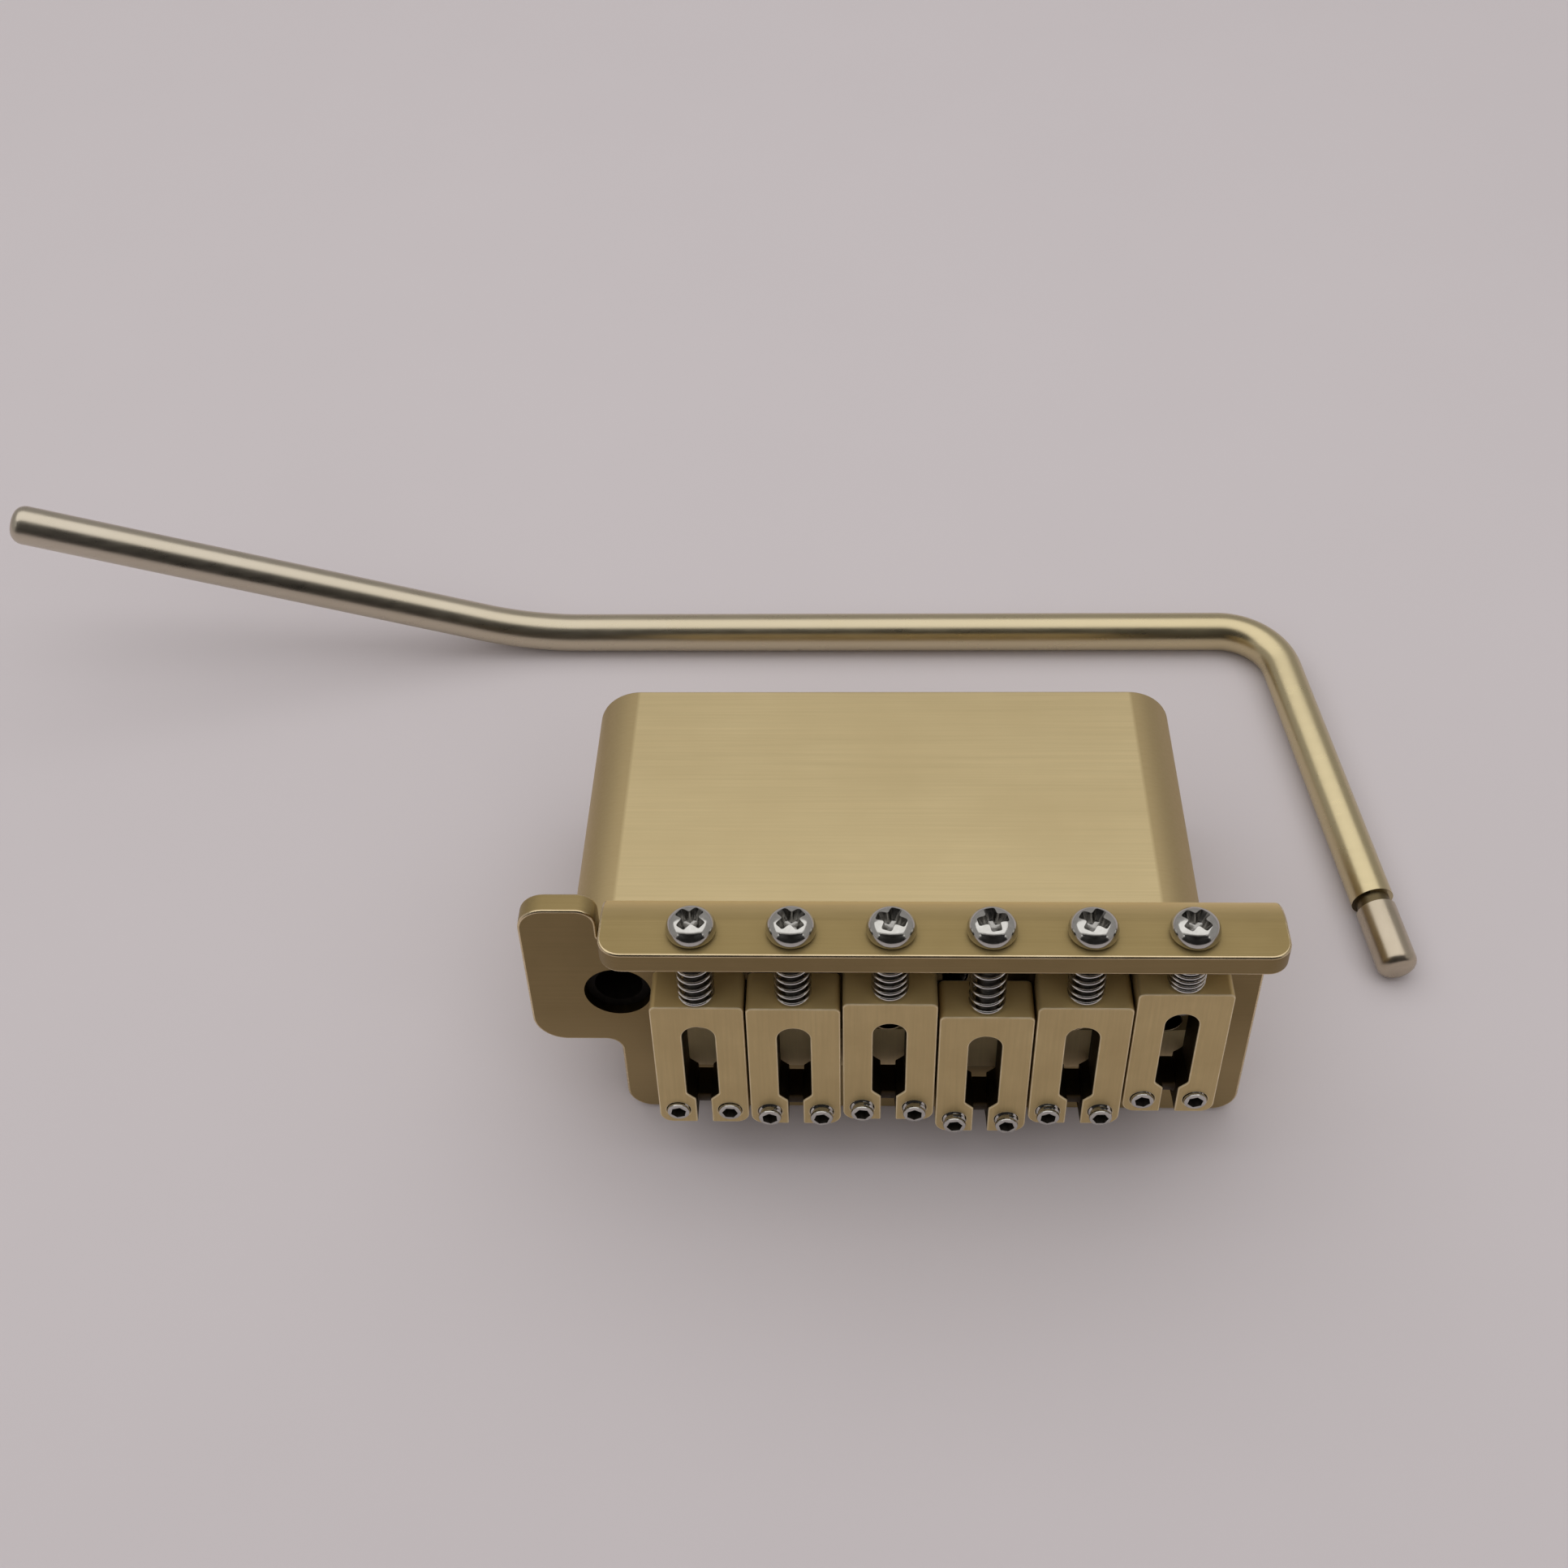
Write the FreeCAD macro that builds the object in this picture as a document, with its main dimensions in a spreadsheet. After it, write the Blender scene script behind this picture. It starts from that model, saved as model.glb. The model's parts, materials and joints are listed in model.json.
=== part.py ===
import FreeCAD, Part
import math
import os
import Sketcher

Vector = FreeCAD.Vector

doc = FreeCAD.newDocument("TremoloBridge")
sheet = doc.addObject("Spreadsheet::Sheet", "Sizes")

# Driving sizes in millimetres, degrees and counts.
drivingSizes = [
    ("stringPitch", 10.5),
    ("plateHalfWidth", 36.1),
    ("plateDepth", 37.3),
    ("plateThickness", 2.7),
    ("plateFrontRadius", 3.0),
    ("bendOuterRadius", 6.5),
    ("lipHeight", 8.7),
    ("lipLeftRadius", 2.6),
    ("lipRightRadius", 2.4),
    ("lobeReach", 9.9),
    ("lobeLength", 21.9),
    ("lobeSetback", 2.8),
    ("lobeFrontRadius", 3.8),
    ("lobeRearRadius", 3.0),
    ("lobeInnerRadius", 2.2),
    ("lobeRootRadius", 1.8),
    ("reliefWidth", 1.2),
    ("reliefDepth", 0.8),
    ("armHoleInset", 0.3),
    ("armHoleFromRear", 16.2),
    ("armHoleDiameter", 7.6),
    ("pivotSpacing", 56.0),
    ("pivotNotchRadius", 2.5),
    ("stringHoleFromRear", 20.8),
    ("stringHoleDiameter", 3.2),
    ("ballHoleDiameter", 4.8),
    ("ballHoleDepth", 27.0),
    ("blockLeft", 41.4),
    ("blockRight", 30.4),
    ("blockFront", 5.5),
    ("blockSetback", 8.3),
    ("blockDrop", 39.9),
    ("blockRearRadius", 5.5),
    ("blockFrontRadius", 3.0),
    ("blockStepWidth", 5.8),
    ("blockStepFromRear", 23.8),
    ("blockStepRadius", 1.5),
    ("hookHoleDiameter", 2.6),
    ("hookHoleDepth", 7.0),
    ("hookHoleInset", 4.1),
    ("blockScrewFromRear", 12.7),
    ("blockScrewDiameter", 3.9),
    ("blockScrewLength", 13.0),
    ("blockScrewHeadDiameter", 6.6),
    ("blockScrewHeadHeight", 1.5),
    ("blockScrewSocket", 2.5),
    ("blockScrewSocketDepth", 1.1),
    ("saddleWidth", 10.25),
    ("saddleLength", 20.4),
    ("saddleThickness", 5.3),
    ("saddleFrontRadius", 1.5),
    ("saddleRearRadius", 0.7),
    ("saddleOuterTop", 7.1),
    ("saddleInnerTop", 7.4),
    ("slotWidth", 3.66),
    ("slotRearWall", 3.3),
    ("shoulderFromFront", 5.2),
    ("noseLength", 3.4),
    ("shoulderRadius", 0.6),
    ("throatRadius", 0.4),
    ("grooveWidth", 1.7),
    ("grooveDepth", 1.4),
    ("rampDrop", 2.1),
    ("screwHeight", 5.3),
    ("screwDiameter", 2.5),
    ("screwLength", 12.6),
    ("screwHeadDiameter", 5.36),
    ("screwHeadRim", 0.8),
    ("screwHeadHeight", 2.1),
    ("crossSpan", 3.2),
    ("crossWidth", 1.0),
    ("crossDepth", 1.4),
    ("heightScrewDiameter", 2.6),
    ("heightScrewSpacing", 5.9),
    ("heightScrewFromFront", 2.2),
    ("heightScrewOuterProud", 0.4),
    ("heightScrewInnerProud", 1.0),
    ("hexAcrossFlats", 1.5),
    ("hexDepth", 1.8),
    ("springRadius", 1.72),
    ("springWire", 0.4),
    ("springTurns", 4),
    ("springEndRadius", 0.42),
    ("bushLength", 13.8),
    ("bushSink", 1.2),
    ("bushBore", 5.4),
    ("clipThickness", 1.0),
    ("clipOpeningAngle", 60.0),
    ("clipSpring", 0.2),
    ("clipPlay", 0.1),
    ("tipPlay", 0.3),
    ("socketDepth", 29.0),
    ("armDiameter", 5.3),
    ("armRun", 105.0),
    ("armLeg", 57.7),
    ("armLegAngle", 81.3),
    ("armCornerRadius", 8.5),
    ("armRiseAngle", 18.0),
    ("armHandle", 72.0),
    ("armBendRadius", 45.0),
    ("armTipDiameter", 5.0),
    ("armTipLength", 9.1),
    ("armGrooveWidth", 1.2),
    ("armGrooveDiameter", 4.3),
    ("armTipRadius", 1.2),
    ("armEndRadius", 1.7),
    ("armCornerX", 49.5),
    ("armCornerY", 72.6),
    ("runningClearance", 0.05),
    ("seatClearance", 0.05),
    ("cutOver", 1.0),
]
# Gap between the lip and each saddle, where its spring stands, arm side first.
saddleGaps = [7.7, 7.5, 6.6, 8.7, 7.1, 5.1]

for row, (name, value) in enumerate(drivingSizes, start=1):
    sheet.set("A%d" % row, name)
    sheet.set("B%d" % row, str(value))
    sheet.setAlias("B%d" % row, name)
for place, value in enumerate(saddleGaps, start=1):
    row = len(drivingSizes) + place
    name = "saddleGap%s" % "ABCDEF"[place - 1]
    sheet.set("A%d" % row, name)
    sheet.set("B%d" % row, str(value))
    sheet.setAlias("B%d" % row, name)
doc.recompute()


def size(name):
    return float(getattr(sheet, name))


nodes = []
stringCount = len(saddleGaps)
plateThickness = size("plateThickness")
plateRear = size("plateDepth")
lipInner = plateRear - plateThickness
saddleRear = [lipInner - gap for gap in saddleGaps]
stringHoleV = plateRear - size("stringHoleFromRear")
blockRear = plateRear - size("blockSetback")
armHoleU = -size("plateHalfWidth") + size("armHoleInset")
armHoleV = plateRear - size("armHoleFromRear")
cutOver = size("cutOver")
running = size("runningClearance")
seat = size("seatClearance")

# The block's lower front edge and the plate's front edge both stand on the table.
tilt = math.degrees(math.atan2(size("blockFront"), size("blockDrop")))
tiltAngle = math.radians(tilt)
bridgePlacement = FreeCAD.Placement(
    Vector(0, -math.cos(tiltAngle), math.sin(tiltAngle)) * plateThickness,
    FreeCAD.Rotation(Vector(1, 0, 0), 90 - tilt),
)
upright = FreeCAD.Rotation()
alongPlate = FreeCAD.Rotation(Vector(1, 0, 0), -90)


def onBridge(across, back, above, rotation=upright):
    return bridgePlacement.multiply(FreeCAD.Placement(Vector(across, back, above), rotation))


def stringAcross(index):
    return (index - (stringCount - 1) / 2) * size("stringPitch")


def makeBody(label, placement):
    body = doc.addObject("PartDesign::Body", label)
    body.Label = label
    body.Placement = placement
    nodes.append(body)
    return body


def makeSketch(body, role, lift=0.0):
    plane = [item for item in body.Origin.OriginFeatures if item.Role == role][0]
    sketch = body.newObject("Sketcher::SketchObject", body.Name + "Sketch")
    sketch.AttachmentSupport = (plane, [""])
    sketch.MapMode = "FlatFace"
    sketch.AttachmentOffset = FreeCAD.Placement(Vector(0, 0, lift), FreeCAD.Rotation())
    return sketch


def roundedPath(corners, closed=True):
    """Lines and arcs through corners of (point, radius)."""
    count = len(corners)
    starts, ends, arcs = [], [], []
    for index, (point, radius) in enumerate(corners):
        if radius == 0 or (not closed and index in (0, count - 1)):
            starts.append(point)
            ends.append(point)
            arcs.append(None)
            continue
        back = (corners[index - 1][0] - point).normalize()
        ahead = (corners[(index + 1) % count][0] - point).normalize()
        half = math.acos(max(-1.0, min(1.0, back.dot(ahead)))) / 2
        reach = radius / math.tan(half)
        inward = (back + ahead).normalize()
        starts.append(point + back * reach)
        ends.append(point + ahead * reach)
        arcs.append(point + inward * (radius / math.sin(half) - radius))
    pieces = []
    for index in range(count):
        if arcs[index] is not None:
            pieces.append(Part.Arc(starts[index], arcs[index], ends[index]))
        if index == count - 1 and not closed:
            break
        following = starts[(index + 1) % count]
        if ends[index].distanceToPoint(following) > 1e-6:
            pieces.append(Part.LineSegment(ends[index], following))
    return pieces


def drawOutline(sketch, corners):
    pieces = roundedPath([(Vector(x, y, 0), radius) for x, y, radius in corners])
    sketch.addGeometry(pieces, False)


def drawCircles(sketch, centres, diameterName, clearance=0.0):
    radius = size(diameterName) / 2 + clearance
    for x, y in centres:
        circle = sketch.addGeometry(Part.Circle(Vector(x, y, 0), Vector(0, 0, 1), radius), False)
        rule = sketch.addConstraint(Sketcher.Constraint("Radius", circle, radius))
        sketch.setExpression("Constraints[%d]" % rule, "Sizes.%s / 2 + %g" % (diameterName, clearance))


def addPad(body, sketch, length, reverse=False):
    pad = body.newObject("PartDesign::Pad", body.Name + "Pad")
    pad.Profile = sketch
    pad.setExpression("Length", length)
    pad.Reversed = reverse
    doc.recompute()
    return pad


def addPocket(body, sketch, length):
    """A pocket towards the side where there is material."""
    before = body.Shape.Volume
    pocket = body.newObject("PartDesign::Pocket", body.Name + "Pocket")
    pocket.Profile = sketch
    pocket.setExpression("Length", length)
    doc.recompute()
    if pocket.Shape.isNull() or body.Shape.Volume > before - 1e-4:
        pocket.Reversed = True
        doc.recompute()
    if body.Shape.Volume > before - 1e-4:
        raise ValueError("a pocket in %s removes nothing" % body.Label)
    return pocket


def addRevolution(body, pieces, angle=360.0):
    """A turned solid: pieces are drawn as (radius, height) in the XZ plane."""
    sketch = makeSketch(body, "XZ_Plane")
    sketch.addGeometry(pieces, False)
    turned = body.newObject("PartDesign::Revolution", body.Name + "Turned")
    turned.Profile = sketch
    turned.ReferenceAxis = (sketch, ["V_Axis"])
    turned.Angle = angle
    doc.recompute()
    return turned


def turnedOutline(points):
    return roundedPath([(Vector(x, y, 0), 0) for x, y in points])


def hexagon(acrossFlats):
    reach = acrossFlats / math.sqrt(3)
    corners = []
    for step in range(6):
        angle = math.radians(60 * step)
        corners.append((reach * math.cos(angle), reach * math.sin(angle), 0))
    return corners


def makeBasePlate():
    body = makeBody("base_plate", onBridge(0, 0, 0))
    half = size("plateHalfWidth")
    bendStart = plateRear - size("bendOuterRadius")
    lobeEnd = plateRear - size("lobeSetback")
    lobeStart = lobeEnd - size("lobeLength")
    lobeEdge = -half - size("lobeReach")
    reliefLeft = -half - size("reliefWidth")
    reliefFront = bendStart - size("reliefDepth")
    reliefRadius = size("reliefWidth") * 0.4

    outline = makeSketch(body, "XY_Plane")
    drawOutline(outline, [
        (-half, 0, size("plateFrontRadius")),
        (half, 0, size("plateFrontRadius")),
        (half, bendStart, 0),
        (-half, bendStart, 0),
        (-half, reliefFront, reliefRadius),
        (reliefLeft, reliefFront, reliefRadius),
        (reliefLeft, lobeEnd, size("lobeInnerRadius")),
        (lobeEdge, lobeEnd, size("lobeRearRadius")),
        (lobeEdge, lobeStart, size("lobeFrontRadius")),
        (-half, lobeStart, size("lobeRootRadius")),
    ])
    addPad(body, outline, "Sizes.plateThickness", reverse=True)

    # The bend, a quarter ring seen from the side.
    outer = size("bendOuterRadius")
    inner = outer - plateThickness
    bendHeight = outer - plateThickness
    slant = math.sqrt(0.5)
    bend = makeSketch(body, "YZ_Plane", -half)
    bend.addGeometry([
        Part.Arc(Vector(bendStart, -plateThickness, 0),
                 Vector(bendStart + outer * slant, bendHeight - outer * slant, 0),
                 Vector(bendStart + outer, bendHeight, 0)),
        Part.LineSegment(Vector(bendStart + outer, bendHeight, 0), Vector(bendStart + inner, bendHeight, 0)),
        Part.Arc(Vector(bendStart + inner, bendHeight, 0),
                 Vector(bendStart + inner * slant, bendHeight - inner * slant, 0),
                 Vector(bendStart, 0, 0)),
        Part.LineSegment(Vector(bendStart, 0, 0), Vector(bendStart, -plateThickness, 0)),
    ], False)
    addPad(body, bend, "2 * Sizes.plateHalfWidth")

    lip = makeSketch(body, "XZ_Plane", -lipInner)
    drawOutline(lip, [
        (-half, bendHeight, 0),
        (half, bendHeight, 0),
        (half, size("lipHeight"), size("lipRightRadius")),
        (-half, size("lipHeight"), size("lipLeftRadius")),
    ])
    addPad(body, lip, "Sizes.plateThickness", reverse=True)

    armHole = makeSketch(body, "XY_Plane")
    drawCircles(armHole, [(armHoleU, armHoleV)], "armHoleDiameter")
    addPocket(body, armHole, "Sizes.plateThickness + Sizes.cutOver")

    strings = makeSketch(body, "XY_Plane")
    places = [(stringAcross(index), stringHoleV) for index in range(stringCount)]
    drawCircles(strings, places, "stringHoleDiameter")
    addPocket(body, strings, "Sizes.plateThickness + Sizes.cutOver")

    fixing = makeSketch(body, "XY_Plane")
    drawCircles(fixing, blockScrewPlaces(), "blockScrewDiameter", running)
    addPocket(body, fixing, "Sizes.plateThickness + Sizes.cutOver")
    sunk = makeSketch(body, "XY_Plane")
    drawCircles(sunk, blockScrewPlaces(), "blockScrewHeadDiameter", running)
    addPocket(body, sunk, "Sizes.blockScrewHeadHeight")

    notch = makeSketch(body, "XY_Plane")
    notch.addGeometry(Part.Circle(Vector(-size("pivotSpacing") / 2, 0, 0), Vector(0, 0, 1),
                                  size("pivotNotchRadius")), False)
    addPocket(body, notch, "Sizes.plateThickness + Sizes.cutOver")

    screws = makeSketch(body, "XZ_Plane", -plateRear - cutOver)
    places = [(stringAcross(index), size("screwHeight")) for index in range(stringCount)]
    drawCircles(screws, places, "screwDiameter", running)
    addPocket(body, screws, "Sizes.plateThickness + 2 * Sizes.cutOver")


def blockScrewPlaces():
    back = plateRear - size("blockScrewFromRear")
    return [(step * 2 * size("stringPitch"), back) for step in (-1, 0, 1)]


def makeBlock():
    body = makeBody("sustain_block", onBridge(0, 0, -plateThickness))
    # Stepped in on the arm side, where the plate has no lobe to cover it.
    stepLeft = -size("blockLeft") + size("blockStepWidth")
    stepBack = plateRear - size("blockStepFromRear")
    outline = makeSketch(body, "XY_Plane")
    drawOutline(outline, [
        (stepLeft, size("blockFront"), size("blockStepRadius")),
        (size("blockRight"), size("blockFront"), size("blockFrontRadius")),
        (size("blockRight"), blockRear, size("blockRearRadius")),
        (-size("blockLeft"), blockRear, size("blockRearRadius")),
        (-size("blockLeft"), stepBack, size("blockFrontRadius")),
        (stepLeft, stepBack, size("blockStepRadius")),
    ])
    addPad(body, outline, "Sizes.blockDrop", reverse=True)

    places = [(stringAcross(index), stringHoleV) for index in range(stringCount)]
    strings = makeSketch(body, "XY_Plane")
    drawCircles(strings, places, "stringHoleDiameter")
    addPocket(body, strings, "Sizes.blockDrop + Sizes.cutOver")
    balls = makeSketch(body, "XY_Plane", -size("blockDrop"))
    drawCircles(balls, places, "ballHoleDiameter")
    addPocket(body, balls, "Sizes.ballHoleDepth")

    hooks = makeSketch(body, "XY_Plane", -size("blockDrop"))
    middle = (size("blockRight") - size("blockLeft")) / 2 + size("stringPitch") / 2
    back = size("blockFront") + size("hookHoleInset")
    places = [(middle + step * size("stringPitch"), back) for step in (-2, -1, 0, 1, 2)]
    drawCircles(hooks, places, "hookHoleDiameter")
    addPocket(body, hooks, "Sizes.hookHoleDepth")

    fixing = makeSketch(body, "XY_Plane")
    drawCircles(fixing, blockScrewPlaces(), "blockScrewDiameter", running)
    addPocket(body, fixing, "Sizes.blockScrewLength + Sizes.cutOver - Sizes.plateThickness")

    socket = makeSketch(body, "XY_Plane")
    drawCircles(socket, [(armHoleU, armHoleV)], "armHoleDiameter")
    addPocket(body, socket, "Sizes.bushSink + Sizes.bushLength + Sizes.clipThickness"
              " + 2 * Sizes.clipPlay - Sizes.plateThickness")
    tip = makeSketch(body, "XY_Plane")
    drawCircles(tip, [(armHoleU, armHoleV)], "armDiameter", size("tipPlay"))
    addPocket(body, tip, "Sizes.socketDepth - Sizes.plateThickness")


def makeBlockScrews():
    """Three low-headed socket screws, one node."""
    screws = []
    for number, (across, back) in enumerate(blockScrewPlaces(), start=1):
        shank = doc.addObject("Part::Cylinder", "BlockScrewShank%d" % number)
        shank.setExpression("Radius", "Sizes.blockScrewDiameter / 2")
        shank.setExpression("Height", "Sizes.blockScrewLength")
        shank.setExpression("Placement.Base.z", "-Sizes.blockScrewLength")
        head = doc.addObject("Part::Cylinder", "BlockScrewHead%d" % number)
        head.setExpression("Radius", "Sizes.blockScrewHeadDiameter / 2")
        head.setExpression("Height", "Sizes.blockScrewHeadHeight")
        head.setExpression("Placement.Base.z", "-Sizes.blockScrewHeadHeight")
        whole = doc.addObject("Part::MultiFuse", "BlockScrewWhole%d" % number)
        whole.Shapes = [shank, head]
        hexSocket = doc.addObject("Part::Prism", "BlockScrewSocket%d" % number)
        hexSocket.Polygon = 6
        hexSocket.setExpression("Circumradius", "Sizes.blockScrewSocket / sqrt(3)")
        hexSocket.setExpression("Height", "Sizes.blockScrewSocketDepth + Sizes.cutOver")
        hexSocket.setExpression("Placement.Base.z", "-Sizes.blockScrewSocketDepth")
        screw = doc.addObject("Part::Cut", "BlockScrew%d" % number)
        screw.Base = whole
        screw.Tool = hexSocket
        screw.Placement = onBridge(across, back, 0)
        screws.append(screw)
    group = doc.addObject("Part::Compound", "BlockScrews")
    group.Links = screws
    group.Label = "block_screws"
    doc.recompute()
    nodes.append(group)


def saddleTop(index):
    return size("saddleOuterTop" if index in (0, stringCount - 1) else "saddleInnerTop")


def makeSaddle(index):
    width = size("saddleWidth")
    length = size("saddleLength")
    thickness = size("saddleThickness")
    bottom = saddleTop(index) - thickness
    body = makeBody("saddle_%d" % (index + 1), onBridge(stringAcross(index), saddleRear[index], bottom))

    outline = makeSketch(body, "XY_Plane")
    drawOutline(outline, [
        (-width / 2, -length, size("saddleFrontRadius")),
        (width / 2, -length, size("saddleFrontRadius")),
        (width / 2, 0, size("saddleRearRadius")),
        (-width / 2, 0, size("saddleRearRadius")),
    ])
    addPad(body, outline, "Sizes.saddleThickness")

    slotHalf = size("slotWidth") / 2
    grooveHalf = size("grooveWidth") / 2
    shoulder = -length + size("shoulderFromFront")
    taperEnd = shoulder - (slotHalf - grooveHalf)
    slotEnd = -length + size("noseLength")
    slot = makeSketch(body, "XY_Plane")
    drawOutline(slot, [
        (-slotHalf, -size("slotRearWall"), slotHalf),
        (slotHalf, -size("slotRearWall"), slotHalf),
        (slotHalf, shoulder, size("shoulderRadius")),
        (grooveHalf, taperEnd, size("throatRadius")),
        (grooveHalf, slotEnd, 0),
        (-grooveHalf, slotEnd, 0),
        (-grooveHalf, taperEnd, size("throatRadius")),
        (-slotHalf, shoulder, size("shoulderRadius")),
    ])
    addPocket(body, slot, "Sizes.saddleThickness + Sizes.cutOver")

    # The string's ramp between the height screws, an arc that falls towards the front.
    crest = thickness - size("grooveDepth")
    nose, drop = size("noseLength"), size("rampDrop")
    rampRadius = (nose * nose + drop * drop) / (2 * drop)
    halfTurn = math.asin(nose / rampRadius) / 2
    ramp = makeSketch(body, "YZ_Plane", grooveHalf)
    ramp.addGeometry([
        Part.Arc(Vector(slotEnd, crest, 0),
                 Vector(slotEnd - rampRadius * math.sin(halfTurn),
                        crest - rampRadius * (1 - math.cos(halfTurn)), 0),
                 Vector(-length, crest - drop, 0)),
        Part.LineSegment(Vector(-length, crest - drop, 0), Vector(-length - cutOver, crest - drop, 0)),
        Part.LineSegment(Vector(-length - cutOver, crest - drop, 0), Vector(-length - cutOver, thickness + cutOver, 0)),
        Part.LineSegment(Vector(-length - cutOver, thickness + cutOver, 0), Vector(slotEnd, thickness + cutOver, 0)),
        Part.LineSegment(Vector(slotEnd, thickness + cutOver, 0), Vector(slotEnd, crest, 0)),
    ], False)
    addPocket(body, ramp, "Sizes.grooveWidth")

    screwHole = makeSketch(body, "XZ_Plane", -cutOver)
    drawCircles(screwHole, [(0, size("screwHeight") - bottom)], "screwDiameter", running)
    addPocket(body, screwHole, "Sizes.slotRearWall + Sizes.slotWidth / 2 + Sizes.cutOver")

    heightHoles = makeSketch(body, "XY_Plane")
    back = -length + size("heightScrewFromFront")
    side = size("heightScrewSpacing") / 2
    drawCircles(heightHoles, [(-side, back), (side, back)], "heightScrewDiameter", running)
    addPocket(body, heightHoles, "Sizes.saddleThickness + Sizes.cutOver")


def makeHeightScrew(index, sign):
    """A grub screw whose foot stands on the plate."""
    proud = size("heightScrewOuterProud" if index in (0, stringCount - 1) else "heightScrewInnerProud")
    length = saddleTop(index) + proud - seat
    radius = size("heightScrewDiameter") / 2
    across = stringAcross(index) + sign * size("heightScrewSpacing") / 2
    back = saddleRear[index] - size("saddleLength") + size("heightScrewFromFront")
    side = "left" if sign < 0 else "right"
    body = makeBody("height_screw_%d_%s" % (index + 1, side), onBridge(across, back, seat))
    foot = radius * 0.35
    rim = radius * 0.12
    addRevolution(body, turnedOutline([
        (0, 0), (radius - foot, 0), (radius, foot), (radius, length - rim), (radius - rim, length), (0, length),
    ]))
    drive = makeSketch(body, "XY_Plane", length)
    drawOutline(drive, hexagon(size("hexAcrossFlats")))
    addPocket(body, drive, "Sizes.hexDepth")


def makeIntonationScrew(index):
    """A pan-headed screw with a cross recess, its head behind the lip."""
    place = onBridge(stringAcross(index), plateRear + seat, size("screwHeight"), alongPlate)
    body = makeBody("intonation_screw_%d" % (index + 1), place)
    radius = size("screwDiameter") / 2
    headRadius = size("screwHeadDiameter") / 2
    rim = size("screwHeadRim")
    top = size("screwHeadHeight")
    length = size("screwLength")
    point = radius * 0.3
    domeCentre = (top ** 2 - rim ** 2 - headRadius ** 2) / (2 * (top - rim))
    domeRadius = top - domeCentre
    domeAngle = math.asin(headRadius / domeRadius) / 2
    domeMiddle = Vector(domeRadius * math.sin(domeAngle), domeCentre + domeRadius * math.cos(domeAngle), 0)
    corners = [
        (0, top), (0, -length), (radius - point, -length), (radius, -length + point),
        (radius, 0), (headRadius, 0), (headRadius, rim),
    ]
    pieces = roundedPath([(Vector(x, y, 0), 0) for x, y in corners], closed=False)
    pieces.append(Part.Arc(Vector(headRadius, rim, 0), domeMiddle, Vector(0, top, 0)))
    addRevolution(body, pieces)

    span = size("crossSpan") / 2
    arm = size("crossWidth") / 2
    cross = makeSketch(body, "XY_Plane", top)
    drawOutline(cross, [
        (span, -arm, 0), (span, arm, 0), (arm, arm, 0), (arm, span, 0), (-arm, span, 0), (-arm, arm, 0),
        (-span, arm, 0), (-span, -arm, 0), (-arm, -arm, 0), (-arm, -span, 0), (arm, -span, 0), (arm, -arm, 0),
    ])
    addPocket(body, cross, "Sizes.crossDepth")


def biarc(start, startWay, end, endWay):
    """Two arcs that join two points with given directions."""
    chord = end - start
    ways = startWay + endWay
    spread = 2 * (1 - startWay.dot(endWay))
    along = chord.dot(ways)
    reach = (-along + math.sqrt(along ** 2 + spread * chord.dot(chord))) / spread
    first = start + startWay * reach
    second = end - endWay * reach
    middle = (first + second) * 0.5
    return [arcFromCorner(start, first, middle), arcFromCorner(middle, second, end)]


def arcFromCorner(start, corner, end):
    """The arc that leaves start towards corner and reaches end from corner."""
    middle = (start + end) * 0.5
    half = (start - middle).Length
    reach = (start - corner).Length
    sag = (middle - corner).Length
    radius = half * reach / sag
    toCentre = (middle - corner).normalize()
    return Part.Arc(start, corner + toCentre * (sag + half ** 2 / sag - radius), end)


def springPath(length):
    """A coil about Z whose ends stand square on the faces at 0 and length."""
    radius = size("springRadius")
    wire = size("springWire")
    bend = size("springEndRadius")
    turns = int(size("springTurns"))
    foot = wire + bend
    rise = length - 2 * foot
    quarters = 4 * turns
    up = Vector(0, 0, 1)

    def place(angle):
        return Vector(radius * math.cos(angle), radius * math.sin(angle), foot + rise * angle / (2 * math.pi * turns))

    def way(angle):
        lift = rise / (2 * math.pi * turns)
        return Vector(-radius * math.sin(angle), radius * math.cos(angle), lift).normalize()

    lastAngle = 2 * math.pi * turns
    lead = bend / radius
    firstFoot = Vector(radius * math.cos(-lead), radius * math.sin(-lead), wire)
    lastFoot = Vector(radius * math.cos(lastAngle + lead), radius * math.sin(lastAngle + lead), length - wire)
    pieces = [Part.LineSegment(firstFoot - up * wire, firstFoot)]
    pieces += biarc(firstFoot, up, place(0), way(0))
    for quarter in range(quarters):
        low = quarter * math.pi / 2
        high = low + math.pi / 2
        pieces += biarc(place(low), way(low), place(high), way(high))
    pieces += biarc(place(lastAngle), way(lastAngle), lastFoot, up)
    pieces.append(Part.LineSegment(lastFoot, lastFoot + up * wire))
    return Part.Wire([piece.toShape() for piece in pieces])


def leastGap(path, wire):
    """Least clear distance between stretches of the path more than half a turn apart."""
    points = path.discretize(Number=400)
    step = path.Length / (len(points) - 1)
    apart = int(math.pi * size("springRadius") / step)
    least = path.Length
    for low in range(len(points)):
        for high in range(low + apart, len(points)):
            least = min(least, points[low].distanceToPoint(points[high]))
    return least - wire


def sweepTube(path, diameter):
    start = path.Edges[0].valueAt(path.Edges[0].FirstParameter)
    way = path.Edges[0].tangentAt(path.Edges[0].FirstParameter)
    ring = Part.Wire([Part.makeCircle(diameter / 2, start, way)])
    tube = path.makePipeShell([ring], True, False)
    expected = math.pi * diameter ** 2 / 4 * path.Length
    if abs(tube.Volume - expected) > 0.02 * expected:
        raise ValueError("a swept tube has the wrong volume")
    return tube


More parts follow.
